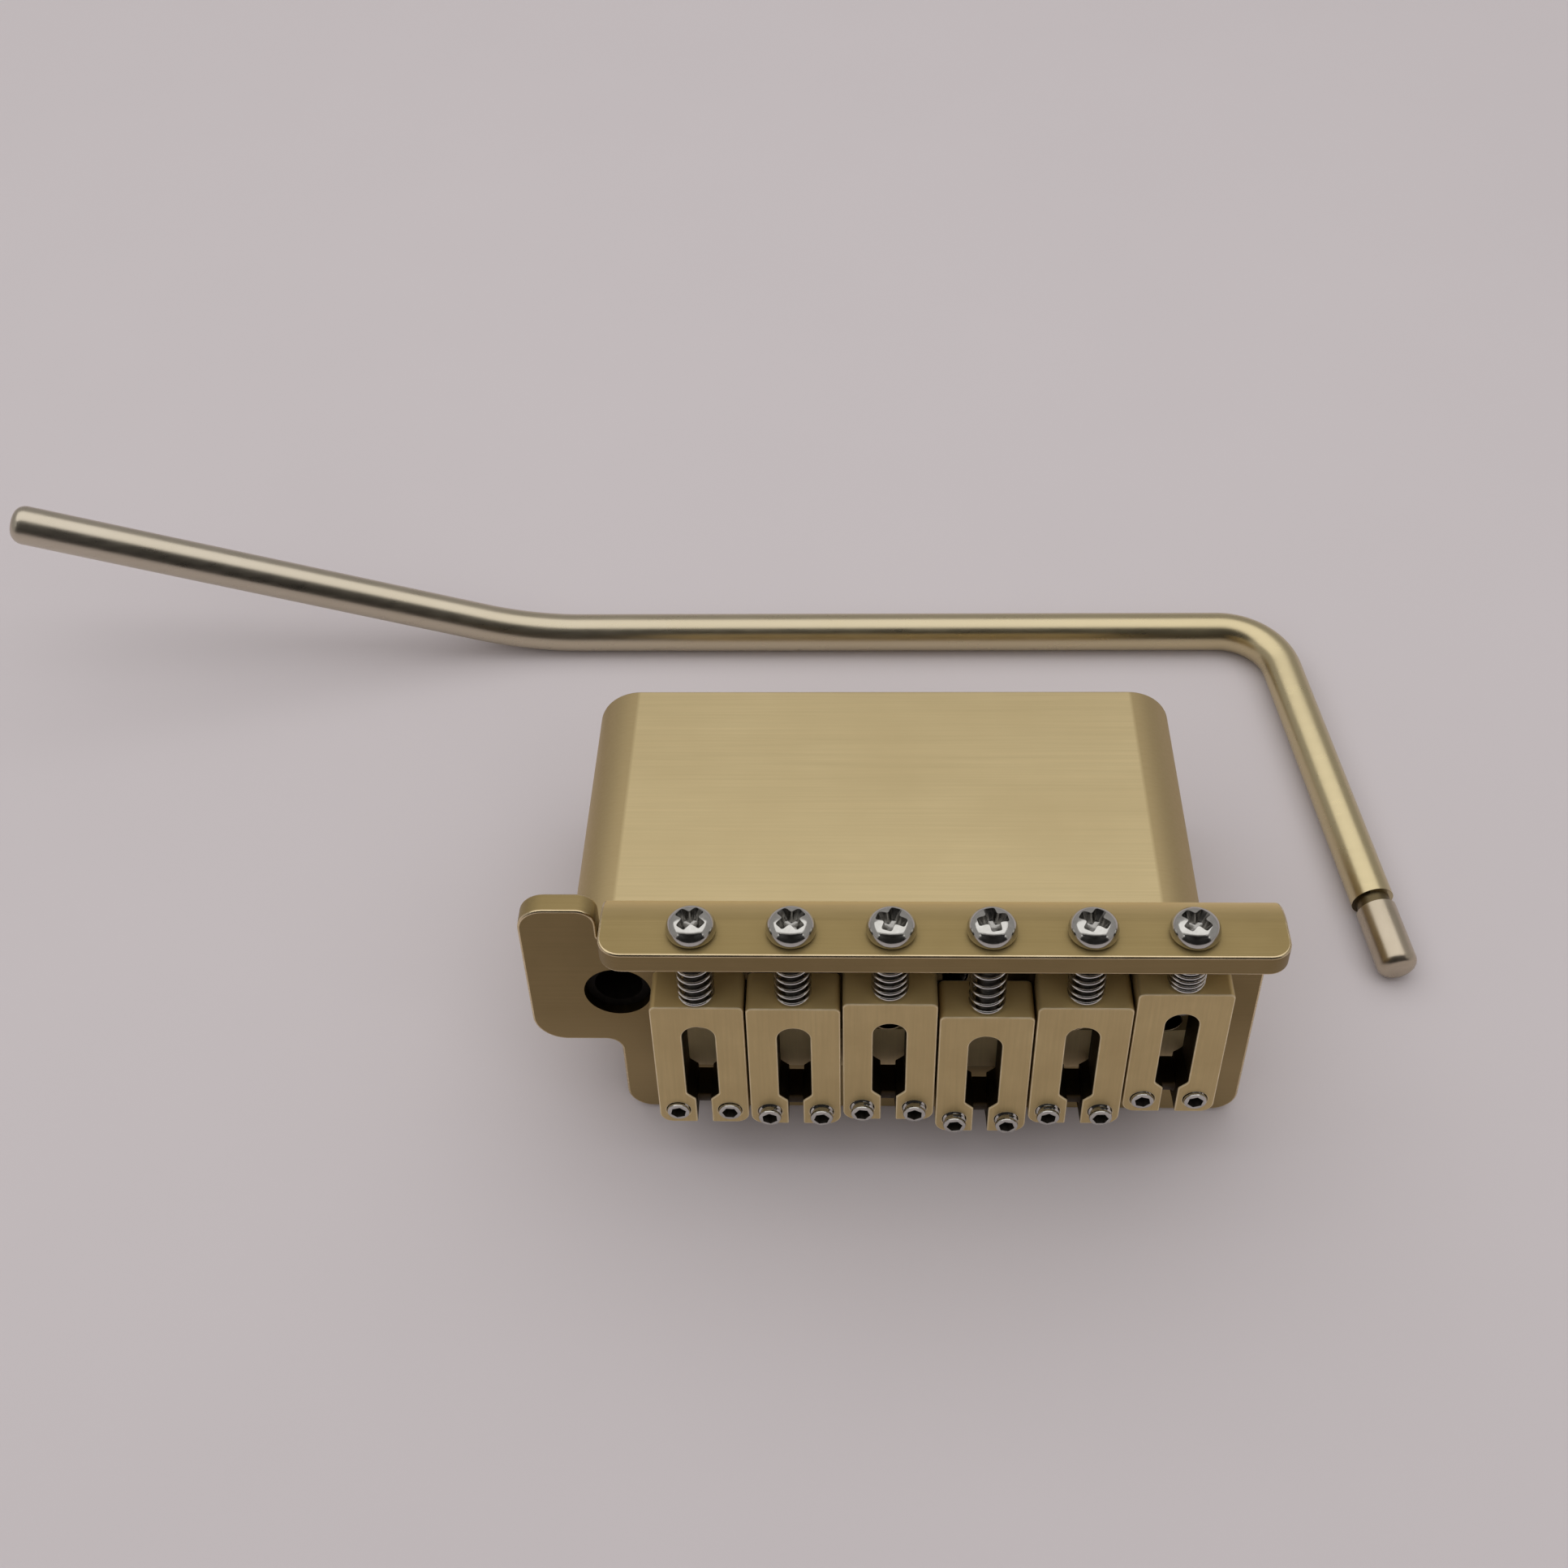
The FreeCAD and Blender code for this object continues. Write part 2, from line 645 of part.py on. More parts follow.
def makeSpring(index):
    """The spring between the lip and a saddle, round the saddle's screw."""
    length = lipInner - saddleRear[index] - 2 * seat
    path = springPath(length)
    gap = leastGap(path, size("springWire"))
    print("intonation_spring_%d least gap to itself %.2f mm" % (index + 1, gap))
    spring = doc.addObject("Part::Feature", "Spring%d" % (index + 1))
    spring.Shape = sweepTube(path, size("springWire"))
    spring.Label = "intonation_spring_%d" % (index + 1)
    spring.Placement = onBridge(stringAcross(index), saddleRear[index] + seat, size("screwHeight"), alongPlate)
    nodes.append(spring)


def makeArmBush():
    """The plastic sleeve that the arm turns in."""
    body = makeBody("arm_bush", onBridge(armHoleU, armHoleV, -size("bushSink") - size("bushLength")))
    outer = size("armHoleDiameter") / 2 - running
    inner = size("bushBore") / 2
    length = size("bushLength")
    addRevolution(body, turnedOutline([(inner, 0), (outer, 0), (outer, length), (inner, length)]))


def makeArmClip():
    """The spring ring that snaps into the arm's groove, below the sleeve."""
    top = size("bushSink") + size("bushLength") + size("clipPlay")
    body = makeBody("arm_clip", onBridge(armHoleU, armHoleV, -top - size("clipThickness")))
    outer = size("armHoleDiameter") / 2 - running
    inner = size("armDiameter") / 2 - size("clipSpring")
    height = size("clipThickness")
    addRevolution(body, turnedOutline([(inner, 0), (outer, 0), (outer, height), (inner, height)]),
                  360 - size("clipOpeningAngle"))


def roundedEnd(start, way, diameter, length, rounding):
    """A round bar from start along way, its far edge rounded."""
    bar = Part.makeCylinder(diameter / 2, length, start, way)
    far = start + way * length
    rim = [edge for edge in bar.Edges if (edge.CenterOfMass - far).Length < 1e-3]
    return bar.makeFillet(rounding, rim)


def makeArm():
    """The bent arm, lying on the table behind the bridge with its handle end raised."""
    diameter = size("armDiameter")
    turn = math.radians(size("armLegAngle"))
    rise = math.radians(size("armRiseAngle"))
    legWay = Vector(math.cos(turn), -math.sin(turn), 0)
    handleWay = Vector(-math.cos(rise), 0, math.sin(rise))
    corner = Vector(0, 0, 0)
    bend = Vector(-size("armRun"), 0, 0)
    handleEnd = bend + handleWay * (size("armHandle") - diameter)
    grooveStart = legWay * (size("armLeg") - size("armTipLength"))
    shankStart = grooveStart - legWay * size("armGrooveWidth")
    pieces = roundedPath([
        (shankStart, 0),
        (corner, size("armCornerRadius")),
        (bend, size("armBendRadius")),
        (handleEnd, 0),
    ], closed=False)
    shank = sweepTube(Part.Wire([piece.toShape() for piece in pieces]), diameter)
    groove = Part.makeCylinder(size("armGrooveDiameter") / 2, size("armGrooveWidth"), grooveStart, -legWay)
    tip = roundedEnd(grooveStart, legWay, size("armTipDiameter"), size("armTipLength"), size("armTipRadius"))
    handle = roundedEnd(handleEnd, handleWay, diameter, diameter, size("armEndRadius"))
    arm = doc.addObject("Part::Feature", "TremoloArm")
    arm.Shape = shank.multiFuse([groove, tip, handle]).removeSplitter()
    arm.Label = "tremolo_arm"
    arm.Placement = FreeCAD.Placement(Vector(size("armCornerX"), size("armCornerY"), diameter / 2), upright)
    nodes.append(arm)


makeBasePlate()
makeBlock()
makeBlockScrews()
for stringIndex in range(stringCount):
    makeSaddle(stringIndex)
    makeHeightScrew(stringIndex, -1)
    makeHeightScrew(stringIndex, 1)
    makeIntonationScrew(stringIndex)
    makeSpring(stringIndex)
makeArmBush()
makeArmClip()
makeArm()
doc.recompute()

for item in doc.Objects:
    if "Invalid" in item.State or "Error" in item.State:
        raise ValueError("%s did not compute" % item.Label)
os.makedirs("parts", exist_ok=True)
for node in nodes:
    if node.Shape.isNull() or not node.Shape.isValid():
        raise ValueError("%s has a bad shape" % node.Label)
    node.Shape.exportStep("parts/%s.step" % node.Label)
    print("%s volume %.1f solids %d" % (node.Label, node.Shape.Volume, len(node.Shape.Solids)))
print("tilt %.3f degrees, %d nodes" % (tilt, len(nodes)))
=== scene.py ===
import json
import math

import bpy
from mathutils import Matrix, Vector

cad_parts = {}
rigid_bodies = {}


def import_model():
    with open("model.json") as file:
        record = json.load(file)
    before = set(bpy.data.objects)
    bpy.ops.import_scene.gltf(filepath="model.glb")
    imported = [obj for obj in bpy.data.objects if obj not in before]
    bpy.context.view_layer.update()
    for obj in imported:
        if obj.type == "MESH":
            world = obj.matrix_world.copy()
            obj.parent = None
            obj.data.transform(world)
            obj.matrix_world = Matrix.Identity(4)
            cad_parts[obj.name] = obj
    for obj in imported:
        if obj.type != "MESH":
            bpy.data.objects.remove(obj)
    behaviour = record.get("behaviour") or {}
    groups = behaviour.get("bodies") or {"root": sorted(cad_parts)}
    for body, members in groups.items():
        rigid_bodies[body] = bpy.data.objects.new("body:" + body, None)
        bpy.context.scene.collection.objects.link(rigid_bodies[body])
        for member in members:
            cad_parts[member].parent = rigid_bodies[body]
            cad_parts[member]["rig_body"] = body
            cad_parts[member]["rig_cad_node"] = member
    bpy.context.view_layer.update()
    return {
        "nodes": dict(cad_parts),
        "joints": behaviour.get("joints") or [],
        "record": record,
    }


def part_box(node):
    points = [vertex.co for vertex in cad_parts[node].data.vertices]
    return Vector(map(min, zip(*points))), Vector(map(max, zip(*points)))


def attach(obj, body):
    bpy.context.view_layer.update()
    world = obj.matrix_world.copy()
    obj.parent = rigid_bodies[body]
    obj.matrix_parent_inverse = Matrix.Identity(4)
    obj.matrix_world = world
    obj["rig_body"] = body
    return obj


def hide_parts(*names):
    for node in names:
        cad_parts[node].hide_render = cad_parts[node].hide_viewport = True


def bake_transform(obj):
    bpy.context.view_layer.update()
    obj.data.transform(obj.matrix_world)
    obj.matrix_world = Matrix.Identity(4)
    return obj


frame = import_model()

mm = 0.001
mergeGap = 1e-6
cutGap = 5e-6
fullTurn = math.radians(360)
stringCount = 6
stringNumbers = range(1, stringCount + 1)  # the arm side first
stringPitch = 10.5
plateThickness = 2.7
nodes = frame["nodes"]
joints = {joint["name"]: joint for joint in frame["joints"]}
slotOf = {part["node"]: part["material_slot"] for part in frame["record"]["subparts"]}
acrossWay = Vector((1, 0, 0))
backWay = Vector(joints["saddle_1_slide"]["axis"])  # from the front edge to the lip
outWay = Vector(joints["height_screw_1_left_raise"]["axis"])  # out of the plate's top
plateTurn = fullTurn / 4 - math.atan2(backWay.y, backWay.z)  # the plate's own axes, turned about X
print("frame loaded:", len(nodes), "nodes")


# small tools

def activate(piece):
    bpy.ops.object.select_all(action="DESELECT")
    piece.select_set(True)
    bpy.context.view_layer.objects.active = piece


def edit(piece):
    activate(piece)
    bpy.ops.object.mode_set(mode="EDIT")
    bpy.ops.mesh.select_mode(type="VERT")


def editAll(piece):
    edit(piece)
    bpy.ops.mesh.select_all(action="SELECT")


def leaveEdit():
    bpy.ops.object.mode_set(mode="OBJECT")


def editChosen(piece, kind, test):
    # edit mode with only the fitting corners, edges or faces selected
    edit(piece)
    bpy.ops.mesh.select_mode(type=kind)
    bpy.ops.mesh.select_all(action="DESELECT")
    leaveEdit()
    elements = {"VERT": piece.data.vertices, "EDGE": piece.data.edges, "FACE": piece.data.polygons}[kind]
    chosen = [element.index for element in elements if test(element)]
    for index in chosen:
        elements[index].select = True
    bpy.ops.object.mode_set(mode="EDIT")


def applyModifier(piece, kind, **settings):
    activate(piece)
    bpy.ops.object.modifier_add(type=kind)
    modifier = piece.modifiers[-1]
    for setting, value in settings.items():
        setattr(modifier, setting, value)
    bpy.ops.object.modifier_apply(modifier=modifier.name)


def tidyMesh(piece):
    editAll(piece)
    bpy.ops.mesh.remove_doubles(threshold=mergeGap)
    bpy.ops.mesh.normals_make_consistent(inside=False)
    leaveEdit()


def smooth(piece, degrees):
    activate(piece)
    bpy.ops.object.shade_smooth_by_angle(angle=math.radians(degrees))


def setInPlace(piece, place):
    activate(piece)
    piece.matrix_world = place
    bpy.ops.object.transform_apply(location=True, rotation=True, scale=True)


def rename(piece, name):
    piece.name = name
    piece.data.name = name


def joinPieces(name, *parts):
    bpy.ops.object.select_all(action="DESELECT")
    for part in parts:
        part.select_set(True)
    bpy.context.view_layer.objects.active = parts[0]
    bpy.ops.object.join()
    rename(parts[0], name)
    return parts[0]


def ownCopy(piece, name):
    activate(piece)
    bpy.ops.object.duplicate(linked=False)
    copy = bpy.context.object
    rename(copy, name)
    return copy


def dress(piece, finish):
    piece.data.materials.clear()
    piece.data.materials.append(finish)


def refinish(piece, finish, test):
    # another finish on the fitting faces
    piece.data.materials.append(finish)
    editChosen(piece, "FACE", test)
    piece.active_material_index = len(piece.data.materials) - 1
    bpy.ops.object.material_slot_assign()
    leaveEdit()


def cutAcross(piece, point, way):
    editAll(piece)
    bpy.ops.mesh.bisect(plane_co=point, plane_no=way)
    leaveEdit()


def drawLine(name, points):
    # one point, pulled along as by hand
    bpy.ops.object.select_all(action="DESELECT")
    bpy.ops.mesh.primitive_plane_add(size=mm)
    piece = bpy.context.object
    rename(piece, name)
    editAll(piece)
    bpy.ops.mesh.merge(type="CENTER")
    bpy.ops.transform.translate(value=points[0])
    for last, point in zip(points, points[1:]):
        bpy.ops.mesh.extrude_vertices_move(TRANSFORM_OT_translate={"value": Vector(point) - Vector(last)})
    leaveEdit()
    return piece


def turnedPiece(name, outline, steps):
    # a half outline of (radius, height), spun about Z
    piece = drawLine(name, [(radius * mm, 0, height * mm) for radius, height in outline])
    editAll(piece)
    bpy.ops.mesh.spin(steps=steps, angle=fullTurn, center=(0, 0, 0), axis=(0, 0, 1))
    leaveEdit()
    tidyMesh(piece)
    return piece


def windUp(piece, turns, steps, pitch):
    # an outline wound up round Z, then closed at both ends
    applyModifier(piece, "SCREW", axis="Z", angle=fullTurn, screw_offset=pitch, iterations=turns,
                  steps=steps, render_steps=steps, use_merge_vertices=False)
    editAll(piece)
    bpy.ops.mesh.fill_holes(sides=0)
    leaveEdit()


def threadRidge(name, settings, low, high):
    # one closed three-sided ridge that winds up the screw
    root = settings["threadRoot"] * mm
    crest = settings["threadCrest"] * mm
    pitch = settings["threadPitch"]
    half = pitch * settings["threadFill"] / 2
    piece = drawLine(name, [(root, 0, (low - half) * mm), (crest, 0, low * mm), (root, 0, (low + half) * mm)])
    editAll(piece)
    bpy.ops.mesh.edge_face_add()
    bpy.ops.mesh.delete(type="ONLY_FACE")
    leaveEdit()
    windUp(piece, int((high - low) / pitch), settings["threadSteps"], pitch * mm)
    tidyMesh(piece)
    return piece


def cutAway(piece, cutter):
    applyModifier(piece, "BOOLEAN", operation="DIFFERENCE", solver="EXACT", material_mode="TRANSFER",
                  object=cutter)
    bpy.data.objects.remove(cutter)
    # the cut leaves faces with no area where it meets the old corners
    editAll(piece)
    bpy.ops.mesh.remove_doubles(threshold=cutGap)
    bpy.ops.mesh.dissolve_degenerate(threshold=cutGap)
    leaveEdit()


def onPlate(point):
    # millimetres across the plate, back from its front edge and out from its top
    return point.x / mm, point.dot(backWay) / mm, point.dot(outWay) / mm - plateThickness


def inSpan(point, span):
    across, back, out = onPlate(point)
    return (abs(across) < span["across"] and span["back"][0] < back < span["back"][1]
            and span["out"][0] < out < span["out"][1])


# finishes

noiseSettings = {
    "roughness": 0.6, "grainDetail": 4, "patchDetail": 3,
    "span": (0.3, 0.7),  # where most of the noise lies
}


def newFinish(name):
    finish = bpy.data.materials.new(name)
    finish.use_nodes = True
    finish.node_tree.nodes.clear()
    tree = finish.node_tree
    shader = tree.nodes.new("ShaderNodeBsdfPrincipled")
    output = tree.nodes.new("ShaderNodeOutputMaterial")
    tree.links.new(shader.outputs["BSDF"], output.inputs["Surface"])
    return finish, tree, shader


def noiseOn(tree, grainSize, turn, detail):
    # noise whose grain has these lengths in metres, along the turned axes
    place = tree.nodes.new("ShaderNodeTexCoord")
    mapping = tree.nodes.new("ShaderNodeMapping")
    mapping.vector_type = "TEXTURE"
    mapping.inputs["Rotation"].default_value = (turn, 0, 0)
    mapping.inputs["Scale"].default_value = grainSize
    noise = tree.nodes.new("ShaderNodeTexNoise")
    noise.inputs["Scale"].default_value = 1.0
    noise.inputs["Detail"].default_value = detail
    noise.inputs["Roughness"].default_value = noiseSettings["roughness"]
    tree.links.new(place.outputs["Object"], mapping.inputs["Vector"])
    tree.links.new(mapping.outputs["Vector"], noise.inputs["Vector"])
    return noise.outputs["Fac"]


def ranged(tree, value, low, high, span=noiseSettings["span"]):
    node = tree.nodes.new("ShaderNodeMapRange")
    node.inputs["From Min"].default_value, node.inputs["From Max"].default_value = span
    node.inputs["To Min"].default_value = low
    node.inputs["To Max"].default_value = high
    tree.links.new(value, node.inputs["Value"])
    return node.outputs["Result"]


def mixed(tree, factor, first, second):
    node = tree.nodes.new("ShaderNodeMix")
    node.data_type = "RGBA"
    tree.links.new(factor, node.inputs["Factor"])
    for socket, colour in (("A", first), ("B", second)):
        slot = [entry for entry in node.inputs if entry.name == socket and entry.type == "RGBA"][0]
        if isinstance(colour, tuple):
            slot.default_value = (*colour, 1)
        else:
            tree.links.new(colour, slot)
    return [entry for entry in node.outputs if entry.type == "RGBA"][0]


def along(tree, source, way):
    # how far the place or the normal goes along this way
    place = tree.nodes.new("ShaderNodeTexCoord")
    product = tree.nodes.new("ShaderNodeVectorMath")
    product.operation = "DOT_PRODUCT"
    product.inputs[1].default_value = way
    tree.links.new(place.outputs[source], product.inputs[0])
    return product.outputs["Value"]


def unsigned(tree, value):
    node = tree.nodes.new("ShaderNodeMath")
    node.operation = "ABSOLUTE"
    tree.links.new(value, node.inputs[0])
    return node.outputs["Value"]


def metalFinish(name, settings):
    finish, tree, shader = newFinish(name)
    grain = noiseOn(tree, settings["grain"], settings["turn"], noiseSettings["grainDetail"])
    patch = noiseOn(tree, (settings["patch"],) * 3, 0, noiseSettings["patchDetail"])
    streaks = mixed(tree, ranged(tree, grain, 0, 1), settings["dark"], settings["pale"])
    colour = mixed(tree, ranged(tree, patch, 0, settings["patchShare"]), streaks, settings["tarnish"])
    if "paintedPlaceTone" in settings:
        # painted light: turns into another tone along this way
        share = ranged(tree, along(tree, "Object", settings["placeWay"]), 0, 1, settings["placeRange"])
        colour = mixed(tree, share, colour, settings["paintedPlaceTone"])
    if "paintedLeanTone" in settings:
        # painted light or shade: another tone where the face curves over towards this way or against it
        lean = unsigned(tree, along(tree, "Normal", settings["leanWay"]))
        colour = mixed(tree, ranged(tree, lean, 0, 1, settings["leanRange"]), colour, settings["paintedLeanTone"])
    bump = tree.nodes.new("ShaderNodeBump")
    bump.inputs["Strength"].default_value = settings["bump"]
    bump.inputs["Distance"].default_value = settings["bumpHeight"]
    tree.links.new(grain, bump.inputs["Height"])
    tree.links.new(colour, shader.inputs["Base Color"])
    tree.links.new(ranged(tree, grain, *settings["roughness"]), shader.inputs["Roughness"])
    tree.links.new(bump.outputs["Normal"], shader.inputs["Normal"])
    shader.inputs["Metallic"].default_value = settings.get("metallic", 1.0)
    return finish


def plasticFinish(name, settings):
    finish, tree, shader = newFinish(name)
    grain = noiseOn(tree, settings["grain"], 0, noiseSettings["patchDetail"])
    colour = mixed(tree, ranged(tree, grain, 0, 1), settings["dark"], settings["pale"])
    tree.links.new(colour, shader.inputs["Base Color"])
    tree.links.new(ranged(tree, grain, *settings["roughness"]), shader.inputs["Roughness"])
    shader.inputs["Specular IOR Level"].default_value = settings["gloss"]
    return finish


blockBrass = metalFinish("blockBrass", {
    "dark": (0.68, 0.55, 0.305), "pale": (0.765, 0.63, 0.365), "tarnish": (0.64, 0.51, 0.275),
    "grain": (0.022, 0.0003, 0.0003), "turn": plateTurn, "patch": 0.018, "patchShare": 0.5,
    "roughness": (0.46, 0.56), "bump": 0.16, "bumpHeight": 0.00002,
    # painted shade: the block's sides and rounded corner bands darker where the face turns across
    "leanWay": acrossWay, "leanRange": (0.01, 0.09), "paintedLeanTone": (0.53, 0.41, 0.215),
})
plateBrass = metalFinish("plateBrass", {
    "dark": (0.256, 0.182, 0.076), "pale": (0.31, 0.221, 0.097), "tarnish": (0.214, 0.149, 0.059),
    "grain": (0.016, 0.0003, 0.0003), "turn": plateTurn, "patch": 0.012, "patchShare": 0.5,
    "roughness": (0.46, 0.56), "bump": 0.12, "bumpHeight": 0.000015, "metallic": 0.7,
    # painted light: the plate paler towards its front edge
    "placeWay": -backWay, "placeRange": (-0.018, -0.008), "paintedPlaceTone": (0.37, 0.272, 0.128),
})
# painted light: a lighter copy of the plate's brass for the lip's rear faces; the bend is paler still where
# it curves over, a painted highlight
lipLitBrass = metalFinish("lipLitBrass", {
    "dark": (0.36, 0.268, 0.115), "pale": (0.43, 0.325, 0.147), "tarnish": (0.31, 0.225, 0.09),
    "grain": (0.016, 0.0003, 0.0003), "turn": plateTurn, "patch": 0.012, "patchShare": 0.5,
    "roughness": (0.46, 0.56), "bump": 0.12, "bumpHeight": 0.000015, "metallic": 0.85,
    "leanWay": outWay, "leanRange": (0.05, 0.6), "paintedLeanTone": (0.8, 0.61, 0.29),
})
saddleBrass = metalFinish("saddleBrass", {
    "dark": (0.53, 0.4, 0.193), "pale": (0.615, 0.47, 0.232), "tarnish": (0.45, 0.327, 0.148),
    "grain": (0.0003, 0.009, 0.0003), "turn": plateTurn, "patch": 0.006, "patchShare": 0.45,
    "roughness": (0.42, 0.52), "bump": 0.1, "bumpHeight": 0.000012, "metallic": 0.6,
    # painted light: paler on the saddles' rear and front ends
    "leanWay": backWay, "leanRange": (0.5, 0.9), "paintedLeanTone": (0.74, 0.555, 0.25),
})
screwNickel = metalFinish("screwNickel", {
    "dark": (0.52, 0.51, 0.48), "pale": (0.62, 0.61, 0.58), "tarnish": (0.45, 0.43, 0.39),
    "grain": (0.0006, 0.0006, 0.0006), "turn": 0, "patch": 0.0025, "patchShare": 0.4,
    "roughness": (0.1, 0.17), "bump": 0.05, "bumpHeight": 0.00001,
})
# painted shade: darker nickel for the walls of the cross recess
recessShadeNickel = metalFinish("recessShadeNickel", {
    "dark": (0.3, 0.29, 0.27), "pale": (0.4, 0.39, 0.37), "tarnish": (0.25, 0.24, 0.22),
    "grain": (0.0006, 0.0006, 0.0006), "turn": 0, "patch": 0.0025, "patchShare": 0.4,
    "roughness": (0.14, 0.22), "bump": 0.05, "bumpHeight": 0.00001,
})
# painted shade: darker steel for the shanks and threads in the springs' shade
threadShadeSteel = metalFinish("threadShadeSteel", {
    "dark": (0.1, 0.095, 0.085), "pale": (0.16, 0.155, 0.14), "tarnish": (0.07, 0.06, 0.05),
    "grain": (0.0006, 0.0006, 0.0006), "turn": 0, "patch": 0.0025, "patchShare": 0.5,
    "roughness": (0.28, 0.4), "bump": 0.05, "bumpHeight": 0.00001,
})
springWire = metalFinish("springWire", {
    "dark": (0.74, 0.73, 0.7), "pale": (0.9, 0.89, 0.87), "tarnish": (0.56, 0.54, 0.5),
    "grain": (0.0008, 0.0008, 0.0003), "turn": 0, "patch": 0.003, "patchShare": 0.4,
    "roughness": (0.12, 0.22), "bump": 0.04, "bumpHeight": 0.00001,
})
armNickel = metalFinish("armNickel", {
    "dark": (0.53, 0.475, 0.385), "pale": (0.6, 0.54, 0.44), "tarnish": (0.51, 0.45, 0.35),
    "grain": (0.006, 0.0012, 0.0012), "turn": 0, "patch": 0.02, "patchShare": 0.6,
    "roughness": (0.26, 0.33), "bump": 0.04, "bumpHeight": 0.00001,
    # painted reflection: golden towards the leg, as the brass block mirrored in it
    "placeWay": acrossWay, "placeRange": (-0.09, 0.06), "paintedPlaceTone": (0.6, 0.505, 0.3),
})
tipNickel = metalFinish("tipNickel", {
    "dark": (0.5, 0.43, 0.325), "pale": (0.57, 0.49, 0.38), "tarnish": (0.46, 0.39, 0.29),
    "grain": (0.0012, 0.006, 0.0012), "turn": 0, "patch": 0.006, "patchShare": 0.6,
    "roughness": (0.26, 0.33), "bump": 0.04, "bumpHeight": 0.00001,
})
grooveShade = metalFinish("grooveShade", {
    "dark": (0.15, 0.115, 0.06), "pale": (0.2, 0.155, 0.085), "tarnish": (0.1, 0.075, 0.035),
    "grain": (0.0008, 0.0008, 0.0008), "turn": 0, "patch": 0.003, "patchShare": 0.5,
    "roughness": (0.35, 0.45), "bump": 0.04, "bumpHeight": 0.00001,
})
# painted highlight: a pale finish for the plate's eased edges
plateEdgeHighlight = metalFinish("plateEdgeHighlight", {
    "dark": (0.66, 0.53, 0.33), "pale": (0.8, 0.66, 0.43), "tarnish": (0.5, 0.38, 0.2),
    "grain": (0.004, 0.0004, 0.0004), "turn": plateTurn, "patch": 0.004, "patchShare": 0.5,
    "roughness": (0.2, 0.3), "bump": 0.05, "bumpHeight": 0.00001,
})
# painted highlight: a pale finish for the saddles' eased edges
saddleEdgeHighlight = metalFinish("saddleEdgeHighlight", {
    "dark": (0.74, 0.6, 0.36), "pale": (0.86, 0.72, 0.47), "tarnish": (0.56, 0.42, 0.22),
    "grain": (0.002, 0.0006, 0.0006), "turn": plateTurn, "patch": 0.003, "patchShare": 0.5,
    "roughness": (0.3, 0.4), "bump": 0.05, "bumpHeight": 0.00001, "metallic": 0.5,
})
blackNylon = plasticFinish("blackNylon", {
    "dark": (0.004, 0.003, 0.002), "pale": (0.009, 0.007, 0.005), "grain": (0.0008, 0.0008, 0.0008),
    "roughness": (0.5, 0.65), "gloss": 0.08,
})
socketShade = plasticFinish("socketShade", {
    "dark": (0.01, 0.008, 0.006), "pale": (0.03, 0.025, 0.02), "grain": (0.0003, 0.0003, 0.0003),
    "roughness": (0.4, 0.6), "gloss": 0.3,
})
holeShade = metalFinish("holeShade", {
    "dark": (0.05, 0.034, 0.015), "pale": (0.075, 0.052, 0.024), "tarnish": (0.03, 0.02, 0.008),
    "grain": (0.0008, 0.0008, 0.0008), "turn": 0, "patch": 0.003, "patchShare": 0.5,
    "roughness": (0.5, 0.65), "bump": 0.05, "bumpHeight": 0.00001,
})
# painted light: a pale patch on the plate's top beneath the saddles, where light falls through the slots
slotLightBrass = metalFinish("slotLightBrass", {
    "dark": (0.8, 0.62, 0.34), "pale": (0.9, 0.71, 0.4), "tarnish": (0.66, 0.5, 0.25),
    "grain": (0.0003, 0.012, 0.0003), "turn": plateTurn, "patch": 0.004, "patchShare": 0.4,
    "roughness": (0.5, 0.6), "bump": 0.05, "bumpHeight": 0.00001, "metallic": 0.2,
})
finishOf = {
    "satin_brass": plateBrass, "saddle_brass": saddleBrass, "nickel_screw": screwNickel,
    "spring_steel": springWire, "black_nylon": blackNylon, "arm_nickel": armNickel,
}
for nodeName, node in nodes.items():
    for materialSlot in node.material_slots:
        materialSlot.material = blockBrass if nodeName == "sustain_block" else finishOf[slotOf[nodeName]]
print("finishes on every node")


# plate, block and saddles: the solid's own shape with its edges eased

easing = {"steps": 3, "flatAngle": 0.5, "sharpAngle": 40, "smoothAngle": 60, "normalWeight": 100}
lipHoles = {"across": 29, "back": (34, 38), "out": (3, 7.6)}
armHole = {"across": -35.8, "back": 21.1, "wall": 4.0, "rim": 4.4}
plateHoles = {"across": 32, "back": (6, 24), "out": (-2.66, -0.02)}
blockHoles = {"across": 29, "back": (8, 23), "out": (-40, -2.72)}
slotLightSpan = {"across": 31, "back": (8, 15), "out": (-0.02, 0.02)}
saddleSlot = {"half": 1.95, "grooveHalf": 1.02, "below": 0.35, "rearWall": 2}
# cosines that tell one side of a piece from another
leans = {"lip": 0.35, "holeWall": 0.3, "plateTop": 0.99, "slotWall": 0.97, "square": 0.9}


def fromArmHole(point):
    across, back = onPlate(point)[:2]
    return math.hypot(across - armHole["across"], back - armHole["back"])


def plateRim(middle):
    # rims that stay sharp: the lip's screw holes, which the heads cover, and the arm's hole
    return inSpan(middle, lipHoles) or fromArmHole(middle) < armHole["rim"]


def onLip(face):
    return face.normal.dot(backWay) > leans["lip"] and face.material_index == 0


def onArmHoleWall(face):
    return abs(face.normal.dot(outWay)) < leans["holeWall"] and fromArmHole(face.center) < armHole["wall"]


def underSaddles(face):
    # painted light: the plate's top beneath the saddles, paler where light comes in through the slots
    return face.normal.dot(outWay) > leans["plateTop"] and inSpan(face.center, slotLightSpan)


